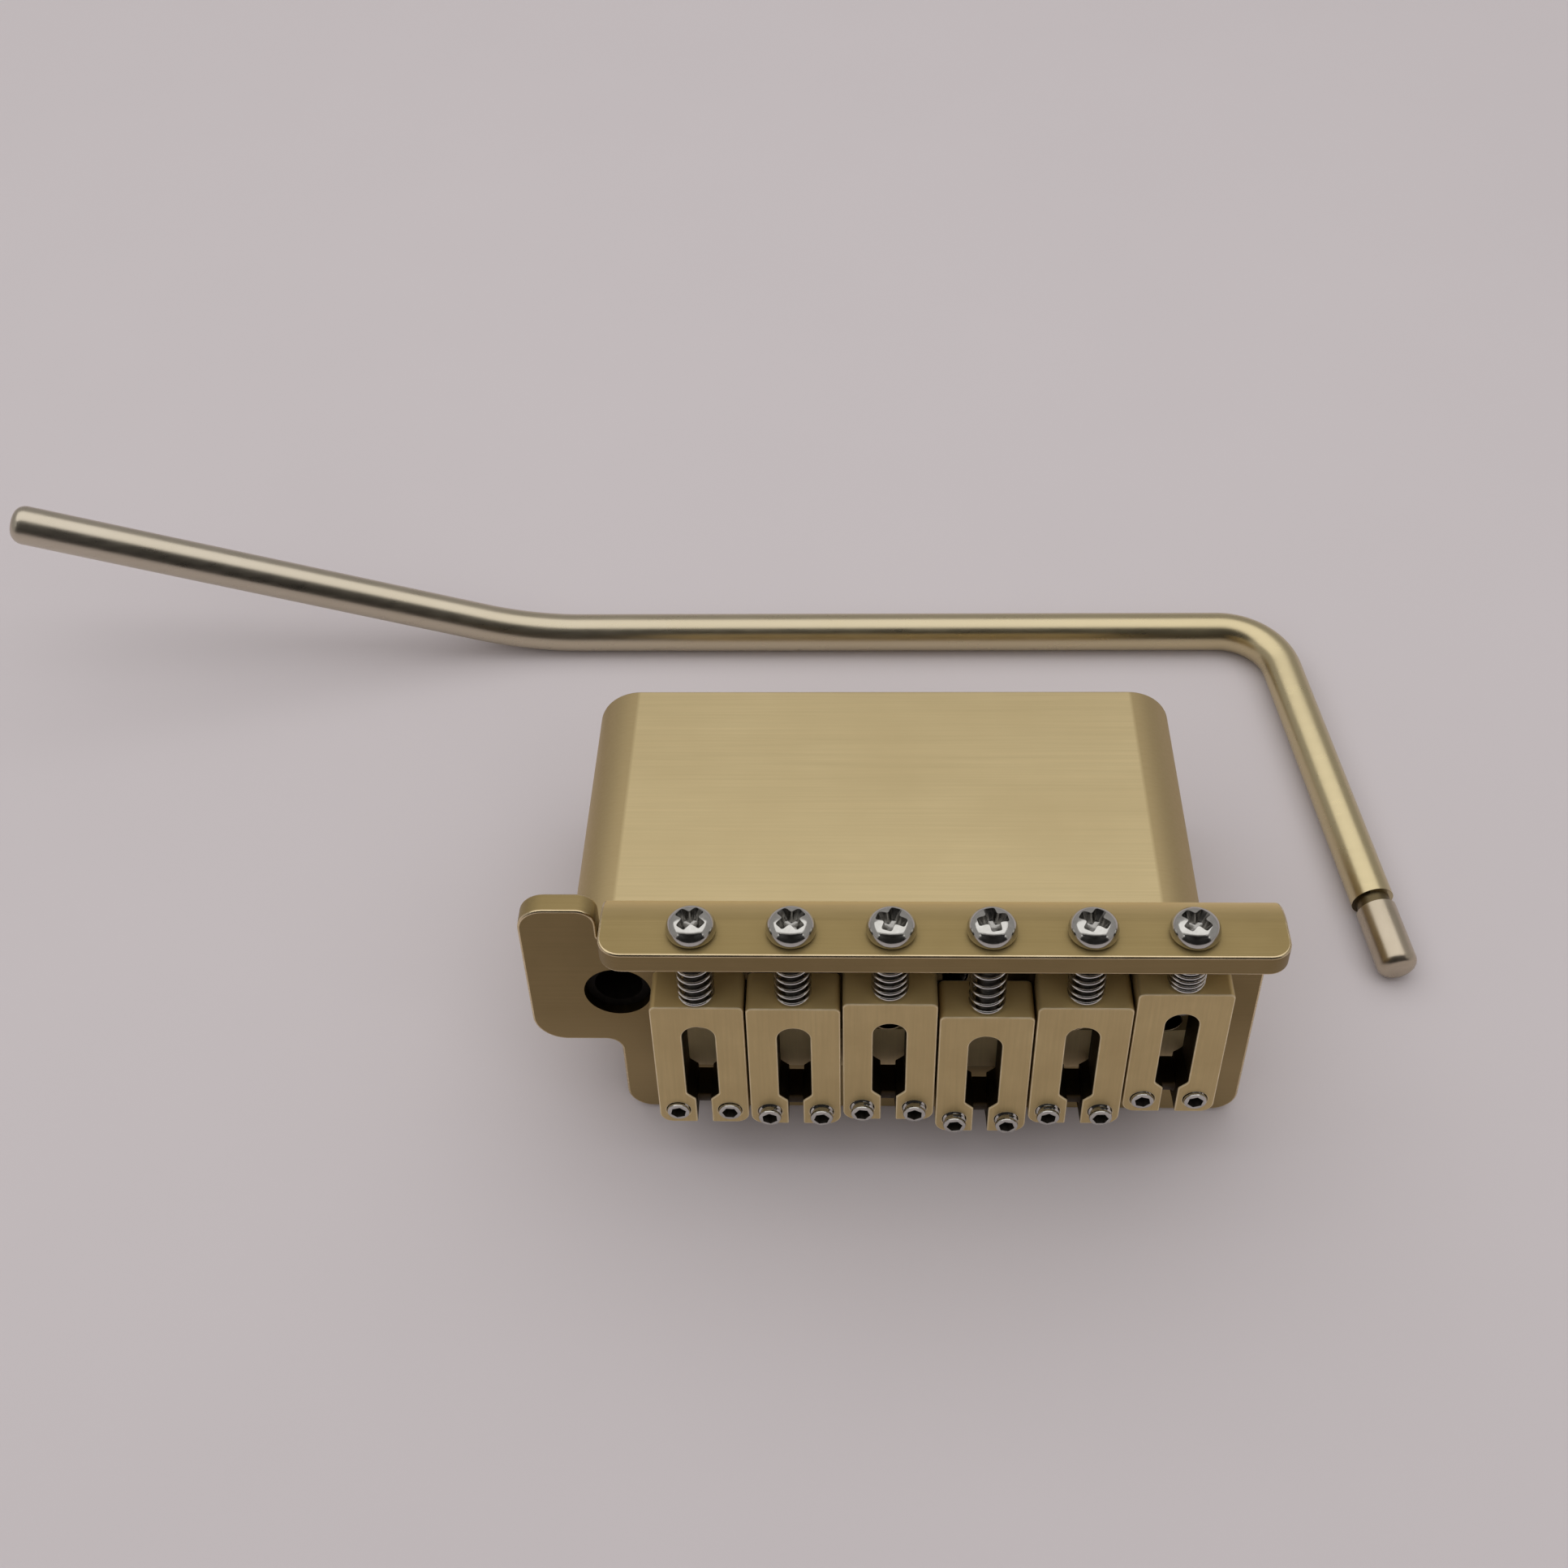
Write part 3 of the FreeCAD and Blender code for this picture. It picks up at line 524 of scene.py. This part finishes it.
def slotTest(number):
    corners = [onPlate(corner.co) for corner in nodes["saddle_%d" % number].data.vertices]
    crest = max(out for across, back, out in corners)
    rear = max(back for across, back, out in corners)
    middle = (number - (stringCount + 1) / 2) * stringPitch

    def inSlot(face):
        across, back, out = onPlate(face.center)
        aside = abs(across - middle)
        wall = (aside < saddleSlot["half"] and face.material_index == 0
                and face.normal.dot(outWay) < leans["slotWall"])
        return ((wall or aside < saddleSlot["grooveHalf"]) and out < crest - saddleSlot["below"]
                and back < rear - saddleSlot["rearWall"])

    return inSlot


edgeSettings = {
    "base_plate": {
        "ease": 0.26, "body": "bridge", "finish": plateBrass, "arris": plateEdgeHighlight, "spared": plateRim,
        "seams": [(backWay, slotLightSpan["back"][0]), (backWay, slotLightSpan["back"][1]),
                  (acrossWay, slotLightSpan["across"]), (acrossWay, -slotLightSpan["across"])],
        # the lip's rear faces and the plate's top under the saddles take painted light
        "zones": [(lipLitBrass, onLip), (holeShade, lambda face: inSpan(face.center, plateHoles)),
                  (holeShade, onArmHoleWall), (slotLightBrass, underSaddles)],
    },
    "sustain_block": {
        "ease": 0.4, "body": "bridge", "finish": blockBrass, "arris": blockBrass,
        "zones": [(holeShade, lambda face: inSpan(face.center, blockHoles))],
    },
}
for number in stringNumbers:
    saddleName = "saddle_%d" % number
    edgeSettings[saddleName] = {
        "ease": 0.15, "body": saddleName, "finish": saddleBrass, "arris": saddleEdgeHighlight,
        "zones": [(holeShade, slotTest(number))],
    }


def nodeCopy(nodeName):
    # a free copy of the solid's mesh, with each flat face whole
    piece = ownCopy(nodes[nodeName], nodeName + "_eased")
    bpy.ops.object.parent_clear(type="CLEAR_KEEP_TRANSFORM")
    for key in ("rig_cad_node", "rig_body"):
        if key in piece:
            del piece[key]
    editAll(piece)
    bpy.ops.mesh.customdata_custom_splitnormals_clear()
    bpy.ops.mesh.remove_doubles(threshold=mergeGap)
    bpy.ops.mesh.dissolve_limited(angle_limit=math.radians(easing["flatAngle"]))
    leaveEdit()
    return piece


def easeEdges(piece, settings):
    editChosen(piece, "EDGE", lambda edge: False)
    bpy.ops.mesh.edges_select_sharp(sharpness=math.radians(easing["sharpAngle"]))
    leaveEdit()
    sharp = {edge.index for edge in piece.data.edges if edge.select}
    spared = settings.get("spared", lambda middle: False)

    def toEase(edge):
        first, second = [piece.data.vertices[index].co for index in edge.vertices]
        return edge.index in sharp and not spared((first + second) / 2)

    editChosen(piece, "EDGE", toEase)
    # the eased faces take the second finish, a painted highlight on the plate and saddles
    bpy.ops.mesh.bevel(offset=settings["ease"] * mm, segments=easing["steps"], affect="EDGES",
                       clamp_overlap=False, loop_slide=False, material=1)
    leaveEdit()
    smooth(piece, easing["smoothAngle"])
    applyModifier(piece, "WEIGHTED_NORMAL", mode="FACE_AREA", weight=easing["normalWeight"], keep_sharp=True)


def easedPiece(nodeName, settings):
    piece = nodeCopy(nodeName)
    for way, distance in settings.get("seams", []):
        cutAcross(piece, way * distance * mm, way)
    dress(piece, settings["finish"])
    piece.data.materials.append(settings["arris"])
    easeEdges(piece, settings)
    for finish, test in settings["zones"]:
        refinish(piece, finish, test)
    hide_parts(nodeName)
    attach(piece, settings["body"])


for easedName, settings in edgeSettings.items():
    easedPiece(easedName, settings)
print("plate, block and saddles eased")


# pan-head screws with a cross recess

screwSettings = {
    "head": [(0, 2.1), (0.7, 2.085), (1.3, 2.03), (1.76, 1.91), (2.12, 1.7), (2.4, 1.4), (2.58, 1.02),
             (2.67, 0.6), (2.65, 0.25), (2.46, 0.0)],
    "shankRadius": 1.05, "length": 12.6, "tipEase": 0.4, "turnSteps": 56, "smoothAngle": 34,
    "threadRoot": 1.0, "threadCrest": 1.24, "threadPitch": 0.45, "threadFill": 0.86, "threadSteps": 22,
    "ridgeFromTip": 0.7, "ridgeFromHead": 0.3, "darkFromTip": 0.5, "darkFromHead": 0.05,
    "crossReach": 1.88, "crossWidth": 1.34, "crossDepth": 1.45, "crossOver": 0.3, "crossTaper": 0.5,
    "crossEase": 0.2, "crossEaseSteps": 2, "crossEaseAngle": 30,
    "crossAngles": [53, 41, 70, 13, 61, 49],
}
screwAxes = Matrix((acrossWay, -outWay, backWay)).transposed().to_4x4()


def crossCutter(settings):
    top = settings["head"][0][1]
    half = settings["crossWidth"] / 2 * mm
    tall = settings["crossDepth"] + settings["crossOver"]
    bpy.ops.object.select_all(action="DESELECT")
    bpy.ops.mesh.primitive_cube_add(size=2)
    cutter = bpy.context.object
    editAll(cutter)
    bpy.ops.transform.resize(value=(half, half, tall / 2 * mm), center_override=(0, 0, 0))
    bpy.ops.transform.translate(value=(0, 0, (top + settings["crossOver"] - tall / 2) * mm))
    leaveEdit()
    for quarter in range(4):
        way = Matrix.Rotation(fullTurn / 4 * quarter, 3, "Z") @ Vector((1, 0, 0))
        side = Vector((-way.y, way.x, 0))

        def middleFace(face):
            return face.normal.dot(way) > leans["square"] and abs(face.center.dot(side)) < half / 2

        editChosen(cutter, "FACE", middleFace)
        bpy.ops.mesh.extrude_region_move(
            TRANSFORM_OT_translate={"value": way * (settings["crossReach"] * mm - half)})
        leaveEdit()
    # narrower towards the bottom
    editChosen(cutter, "VERT", lambda corner: corner.co.z < top * mm)
    taper = settings["crossTaper"]
    bpy.ops.transform.resize(value=(taper, taper, 1), center_override=(0, 0, 0))
    leaveEdit()
    tidyMesh(cutter)
    applyModifier(cutter, "BEVEL", width=settings["crossEase"] * mm, segments=settings["crossEaseSteps"],
                  limit_method="ANGLE", angle_limit=math.radians(settings["crossEaseAngle"]))
    # the recess walls take the painted shade
    dress(cutter, recessShadeNickel)
    return cutter


def makeScrew(settings):
    radius = settings["shankRadius"]
    length = settings["length"]
    tip = settings["tipEase"]
    shank = [(radius, 0.0), (radius, tip - length), (radius - tip, -length), (0, -length)]
    screw = turnedPiece("screw", settings["head"] + shank, settings["turnSteps"])
    dress(screw, screwNickel)
    cutAway(screw, crossCutter(settings))
    darkLow = settings["darkFromTip"] - length
    # painted shade on the shank inside the spring
    refinish(screw, threadShadeSteel, lambda face: darkLow < face.center.z / mm < -settings["darkFromHead"])
    ridge = threadRidge("screwRidge", settings, settings["ridgeFromTip"] - length, -settings["ridgeFromHead"])
    dress(ridge, threadShadeSteel)
    screw = joinPieces("screw", screw, ridge)
    smooth(screw, settings["smoothAngle"])
    return screw


patternScrew = makeScrew(screwSettings)
for number in stringNumbers:
    screwName = "intonation_screw_%d" % number
    screw = ownCopy(patternScrew, "cross_screw_%d" % number)
    seat = Vector(joints["screw_%d_turn" % number]["pos_m"])
    spin = Matrix.Rotation(math.radians(screwSettings["crossAngles"][number - 1]), 4, "Z")
    setInPlace(screw, Matrix.Translation(seat) @ screwAxes @ spin)
    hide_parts(screwName)
    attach(screw, screwName)
bpy.data.objects.remove(patternScrew)
print("cross screws made")


# coil springs round the screws

springSettings = {
    "coilRadius": 1.84, "wire": 0.4, "wireSides": 12, "turns": 7, "turnSteps": 30, "smoothAngle": 50,
    "closedPitch": 0.44, "closedTurns": 0.6, "openingTurns": 0.7, "seatGap": 0.03,
}


def risenTurns(settings, length):
    # height of the wire at each step, with the end turns wound close
    steps = settings["turns"] * settings["turnSteps"]
    shares = []
    for step in range(steps):
        turn = (step + 0.5) / settings["turnSteps"]
        fromEnd = min(turn, settings["turns"] - turn)
        ease = min(max((fromEnd - settings["closedTurns"]) / settings["openingTurns"], 0), 1)
        shares.append(ease * ease * (3 - 2 * ease))
    closed = settings["closedPitch"] / settings["turnSteps"]
    spare = (length - closed * steps) / sum(shares)
    heights = [0]
    for share in shares:
        heights.append(heights[-1] + closed + spare * share)
    return heights


def makeSpring(number, settings):
    nodeName = "intonation_spring_%d" % number
    backs = [corner.co.dot(backWay) for corner in nodes[nodeName].data.vertices]
    low, high = min(backs), max(backs)
    radius = settings["wire"] / 2 * mm
    heights = risenTurns(settings, (high - low) / mm - settings["wire"] - 2 * settings["seatGap"])
    bpy.ops.object.select_all(action="DESELECT")
    bpy.ops.mesh.primitive_circle_add(vertices=settings["wireSides"], radius=radius,
                                      location=(settings["coilRadius"] * mm, 0, 0),
                                      rotation=(fullTurn / 4, 0, 0))
    spring = bpy.context.object
    bpy.ops.object.transform_apply(location=True, rotation=True, scale=True)
    # even turns first, then each step goes to its own height
    windUp(spring, settings["turns"], settings["turnSteps"], mm)
    for index, point in enumerate(spring.data.vertices):
        step = index // settings["wireSides"]
        point.co.z += heights[step] * mm - step / settings["turnSteps"] * mm
    tidyMesh(spring)
    joint = Vector(joints["screw_%d_turn" % number]["pos_m"])
    foot = joint + backWay * (low - joint.dot(backWay)) + backWay * (radius + settings["seatGap"] * mm)
    setInPlace(spring, Matrix.Translation(foot) @ screwAxes)
    rename(spring, "coil_spring_%d" % number)
    smooth(spring, settings["smoothAngle"])
    dress(spring, springWire)
    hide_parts(nodeName)
    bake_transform(spring)


for number in stringNumbers:
    makeSpring(number, springSettings)
print("springs wound")


# height screws

grubSettings = {
    "coreRadius": 1.1, "rimRadius": 1.3, "rimHeight": 0.34, "rimEase": 0.2, "footEase": 0.35,
    "rimCurve": [(1.1, 0), (0.35, 0.3), (0, 1)],  # in and down, in shares of rimEase
    "hexAcross": 1.6, "hexDepth": 2.2, "turnSteps": 40, "smoothAngle": 34,
    "threadRoot": 1.05, "threadCrest": 1.29, "threadPitch": 0.45, "threadFill": 0.86, "threadSteps": 20,
    "ridgeFromFoot": 0.5, "ridgeFromRim": 0.3,
    "turnEach": 17, "turnAside": {"left": 31, "right": 8},
}
grubAxes = Matrix((acrossWay, backWay, outWay)).transposed().to_4x4()


def makeGrub(length, settings):
    rim = settings["rimRadius"]
    core = settings["coreRadius"]
    ease = settings["rimEase"]
    foot = settings["footEase"]
    rimHeight = settings["rimHeight"]
    outline = [(0, 0)] + [(rim - ease * inward, -ease * down) for inward, down in settings["rimCurve"]]
    outline += [(rim, -rimHeight), (core, -rimHeight - (rim - core)), (core, -length + foot),
                (core - foot, -length), (0, -length)]
    grub = turnedPiece("grub", outline, settings["turnSteps"])
    dress(grub, screwNickel)
    bpy.ops.object.select_all(action="DESELECT")
    bpy.ops.mesh.primitive_cylinder_add(vertices=6, radius=settings["hexAcross"] / math.sqrt(3) * mm,
                                        depth=2 * settings["hexDepth"] * mm)
    hexKey = bpy.context.object
    dress(hexKey, socketShade)
    cutAway(grub, hexKey)
    ridge = threadRidge("grubRidge", settings, settings["ridgeFromFoot"] - length,
                        -rimHeight - settings["ridgeFromRim"])
    dress(ridge, screwNickel)
    grub = joinPieces("grub", grub, ridge)
    smooth(grub, settings["smoothAngle"])
    return grub


patternGrubs = {}
for number in stringNumbers:
    for side, turnAside in grubSettings["turnAside"].items():
        grubName = "height_screw_%d_%s" % (number, side)
        outs = [corner.co.dot(outWay) for corner in nodes[grubName].data.vertices]
        length = round((max(outs) - min(outs)) / mm, 2)
        if length not in patternGrubs:
            patternGrubs[length] = makeGrub(length, grubSettings)
        grub = ownCopy(patternGrubs[length], "hex_screw_%d_%s" % (number, side))
        lowest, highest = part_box(grubName)
        middle = (lowest + highest) / 2
        top = middle + outWay * (max(outs) - middle.dot(outWay))
        turn = Matrix.Rotation(math.radians(grubSettings["turnEach"] * number + turnAside), 4, "Z")
        setInPlace(grub, Matrix.Translation(top) @ grubAxes @ turn)
        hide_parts(grubName)
        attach(grub, grubName)
for pattern in patternGrubs.values():
    bpy.data.objects.remove(pattern)
print("height screws made")


# the bent arm, one bar drawn out from its tip and bent

armSettings = {
    "sides": 56, "radius": 2.65, "tipRadius": 2.5, "tipLength": 9.1, "tipEase": 1.2, "smoothAngle": 34,
    "grooveRadius": 2.1, "grooveWidth": 1.5, "grooveMargin": 0.1,
    "leg": 57.7, "legAngle": 81.3, "cornerRadius": 8.5, "cornerSteps": 20,
    "run": 105.0, "riseAngle": 18, "bendRadius": 45.0, "bendSteps": 12, "handle": 72.0, "endEase": 1.7,
    "cornerX": 49.5, "cornerY": 72.6,
    "rimSteps": 6, "rimGap": 0.01, "rimShare": 0.9,
}


def easeRim(arm, middle, inWay, ease, radius, settings):
    # rounds the rim of the flat end at this middle
    def onRim(edge):
        ends = [arm.data.vertices[index].co - middle for index in edge.vertices]
        return all(abs(end.dot(inWay)) < settings["rimGap"] * mm
                   and end.length > settings["rimShare"] * radius * mm for end in ends)

    editChosen(arm, "EDGE", onRim)
    bpy.ops.mesh.bevel(offset=ease * mm, segments=settings["rimSteps"], affect="EDGES")
    leaveEdit()


def makeArm(settings):
    legTurn = math.radians(settings["legAngle"])
    rise = math.radians(settings["riseAngle"])
    legWay = Vector((math.cos(legTurn), -math.sin(legTurn), 0))
    runWay = Vector((-1, 0, 0))
    handleWay = Vector((-math.cos(rise), 0, math.sin(rise)))
    corner = Vector((settings["cornerX"], settings["cornerY"], settings["radius"])) * mm
    tipEnd = corner + legWay * settings["leg"] * mm
    cornerTurn = math.pi - math.acos(legWay.dot(runWay))
    cornerReach = settings["cornerRadius"] * math.tan(cornerTurn / 2)
    bendReach = settings["bendRadius"] * math.tan(rise / 2)
    shank = settings["leg"] - settings["tipLength"] - settings["grooveWidth"] - cornerReach
    bpy.ops.object.select_all(action="DESELECT")
    bpy.ops.mesh.primitive_circle_add(vertices=settings["sides"], radius=settings["tipRadius"] * mm,
                                      fill_type="NGON", location=tipEnd,
                                      rotation=legWay.to_track_quat("Z", "Y").to_euler())
    arm = bpy.context.object
    bpy.ops.object.transform_apply(location=True, rotation=True, scale=True)
    edit(arm)
    bpy.ops.mesh.select_mode(type="FACE")
    bpy.ops.mesh.select_all(action="SELECT")
    place = tipEnd.copy()

    def pull(way, distance):
        nonlocal place
        bpy.ops.mesh.extrude_region_move(TRANSFORM_OT_translate={"value": way * distance * mm})
        place = place + way * distance * mm

    def widen(share):
        bpy.ops.mesh.extrude_region_move()
        bpy.ops.transform.resize(value=(share, share, share), center_override=place)

    pull(-legWay, settings["tipLength"])
    widen(settings["grooveRadius"] / settings["tipRadius"])
    pull(-legWay, settings["grooveWidth"])
    widen(settings["radius"] / settings["grooveRadius"])
    pull(-legWay, shank)
    # round the corner, about an upright axis
    inner = (runWay + legWay).normalized()
    cornerCentre = corner + inner * (settings["cornerRadius"] / math.cos(cornerTurn / 2)) * mm
    bpy.ops.mesh.spin(steps=settings["cornerSteps"], angle=-cornerTurn, center=cornerCentre, axis=(0, 0, 1))
    pull(runWay, settings["run"] - cornerReach - bendReach)
    # up into the handle
    bendStart = corner + runWay * (settings["run"] - bendReach) * mm
    bendCentre = bendStart + Vector((0, 0, settings["bendRadius"])) * mm
    bpy.ops.mesh.spin(steps=settings["bendSteps"], angle=-rise, center=bendCentre, axis=(0, 1, 0))
    pull(handleWay, settings["handle"] - bendReach)
    leaveEdit()
    tidyMesh(arm)
    handleEnd = corner + runWay * settings["run"] * mm + handleWay * settings["handle"] * mm
    easeRim(arm, tipEnd, -legWay, settings["tipEase"], settings["tipRadius"], settings)
    easeRim(arm, handleEnd, -handleWay, settings["endEase"], settings["radius"], settings)
    rename(arm, "bent_arm")
    return arm


arm = makeArm(armSettings)
smooth(arm, armSettings["smoothAngle"])
dress(arm, armNickel)
forwardShare = math.sin(math.radians(armSettings["legAngle"]))
tipFrom = armSettings["cornerY"] - (armSettings["leg"] - armSettings["tipLength"]) * forwardShare
grooveFrom = tipFrom + armSettings["grooveWidth"] * forwardShare
margin = armSettings["grooveMargin"]
refinish(arm, tipNickel, lambda face: face.center.y < tipFrom * mm)
refinish(arm, grooveShade, lambda face: tipFrom + margin < face.center.y / mm < grooveFrom - margin)
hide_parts("tremolo_arm")
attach(arm, "tremolo_arm")
print("arm bent")


# table, lights and camera

tableSettings = {
    "size": 6.0, "colour": (0.597, 0.55, 0.562), "paler": 1.015, "grain": (0.05, 0.05, 0.05),
    "roughness": 0.75, "gloss": 0.25,
}
tableFinish, tableTree, tableShader = newFinish("tableTop")
tableGrain = noiseOn(tableTree, tableSettings["grain"], 0, noiseSettings["patchDetail"])
paler = tuple(channel * tableSettings["paler"] for channel in tableSettings["colour"])
tableTone = mixed(tableTree, ranged(tableTree, tableGrain, 0, 1), tableSettings["colour"], paler)
tableTree.links.new(tableTone, tableShader.inputs["Base Color"])
tableShader.inputs["Roughness"].default_value = tableSettings["roughness"]
tableShader.inputs["Specular IOR Level"].default_value = tableSettings["gloss"]
bpy.ops.object.select_all(action="DESELECT")
bpy.ops.mesh.primitive_plane_add(size=tableSettings["size"])
table = bpy.context.object
table.name = "table_top"
dress(table, tableFinish)

flagSettings = {
    "colour": (0.02, 0.019, 0.018), "roughness": 0.9, "width": 1.7,
    "line": [(-0.5, 0.0), (-0.5, 0.6), (-0.28, 0.9)],
}
flagFinish, flagTree, flagShader = newFinish("darkCloth")
flagShader.inputs["Base Color"].default_value = (*flagSettings["colour"], 1)
flagShader.inputs["Roughness"].default_value = flagSettings["roughness"]
flag = drawLine("dark_flag", [(-flagSettings["width"] / 2, y, z) for y, z in flagSettings["line"]])
editAll(flag)
bpy.ops.mesh.extrude_region_move(TRANSFORM_OT_translate={"value": (flagSettings["width"], 0, 0)})
leaveEdit()
dress(flag, flagFinish)
# only seen as a dark band in the polished metal
flag.visible_camera = False
flag.visible_diffuse = False
flag.visible_shadow = False

roomColour = (0.37, 0.358, 0.352)
world = bpy.data.worlds.new("room")
bpy.context.scene.world = world
world.use_nodes = True
world.node_tree.nodes["Background"].inputs["Color"].default_value = (*roomColour, 1)
world.node_tree.nodes["Background"].inputs["Strength"].default_value = 1.0

# an aimed light faces the middle of the table, and the others face straight down
lightSettings = {
    "softbox": {"place": (-0.12, 0.27, 0.6), "size": (1.2, 0.72), "glow": 0.86},
    "top_light": {"place": (0, -0.12, 0.62), "size": (1.4, 0.65), "glow": 0.4, "mirrored": False},
    "fill_0": {"place": (-0.7, -0.6, 0.8), "size": (0.6, 0.6), "glow": 0.7, "aimed": True},
    "fill_1": {"place": (0.7, -0.6, 0.8), "size": (0.6, 0.6), "glow": 0.7, "aimed": True},
}


def areaLight(name, settings):
    place = Vector(settings["place"])
    turn = place.to_track_quat("Z", "Y").to_euler() if settings.get("aimed", False) else (0, 0, 0)
    bpy.ops.object.light_add(type="AREA", location=place, rotation=turn)
    light = bpy.context.object
    light.name = name
    width, depth = settings["size"]
    light.data.shape = "RECTANGLE"
    light.data.size = width
    light.data.size_y = depth
    light.data.energy = settings["glow"] * math.pi * width * depth
    light.visible_glossy = settings.get("mirrored", True)


for lightName, settings in lightSettings.items():
    areaLight(lightName, settings)

view = {
    "place": (-9.088, -115.981, 206.112), "focal": 44.31, "sensor": 36.0, "nearest": 0.005,
    "forward": (-0.03663, 0.61975, -0.78394), "right": (0.99933, 0.02345, -0.02816),
}
cameraData = bpy.data.cameras.new("camera")
camera = bpy.data.objects.new("camera", cameraData)
bpy.context.scene.collection.objects.link(camera)
cameraData.lens = view["focal"]
cameraData.sensor_width = view["sensor"]
cameraData.clip_start = view["nearest"]
forward = Vector(view["forward"]).normalized()
right = Vector(view["right"]).normalized()
up = right.cross(forward).normalized()
camera.matrix_world = (Matrix.Translation(Vector(view["place"]) * mm)
                       @ Matrix((right, up, -forward)).transposed().to_4x4())
bpy.context.scene.camera = camera
bpy.context.scene.view_settings.view_transform = "Standard"
print("table, lights and camera set")
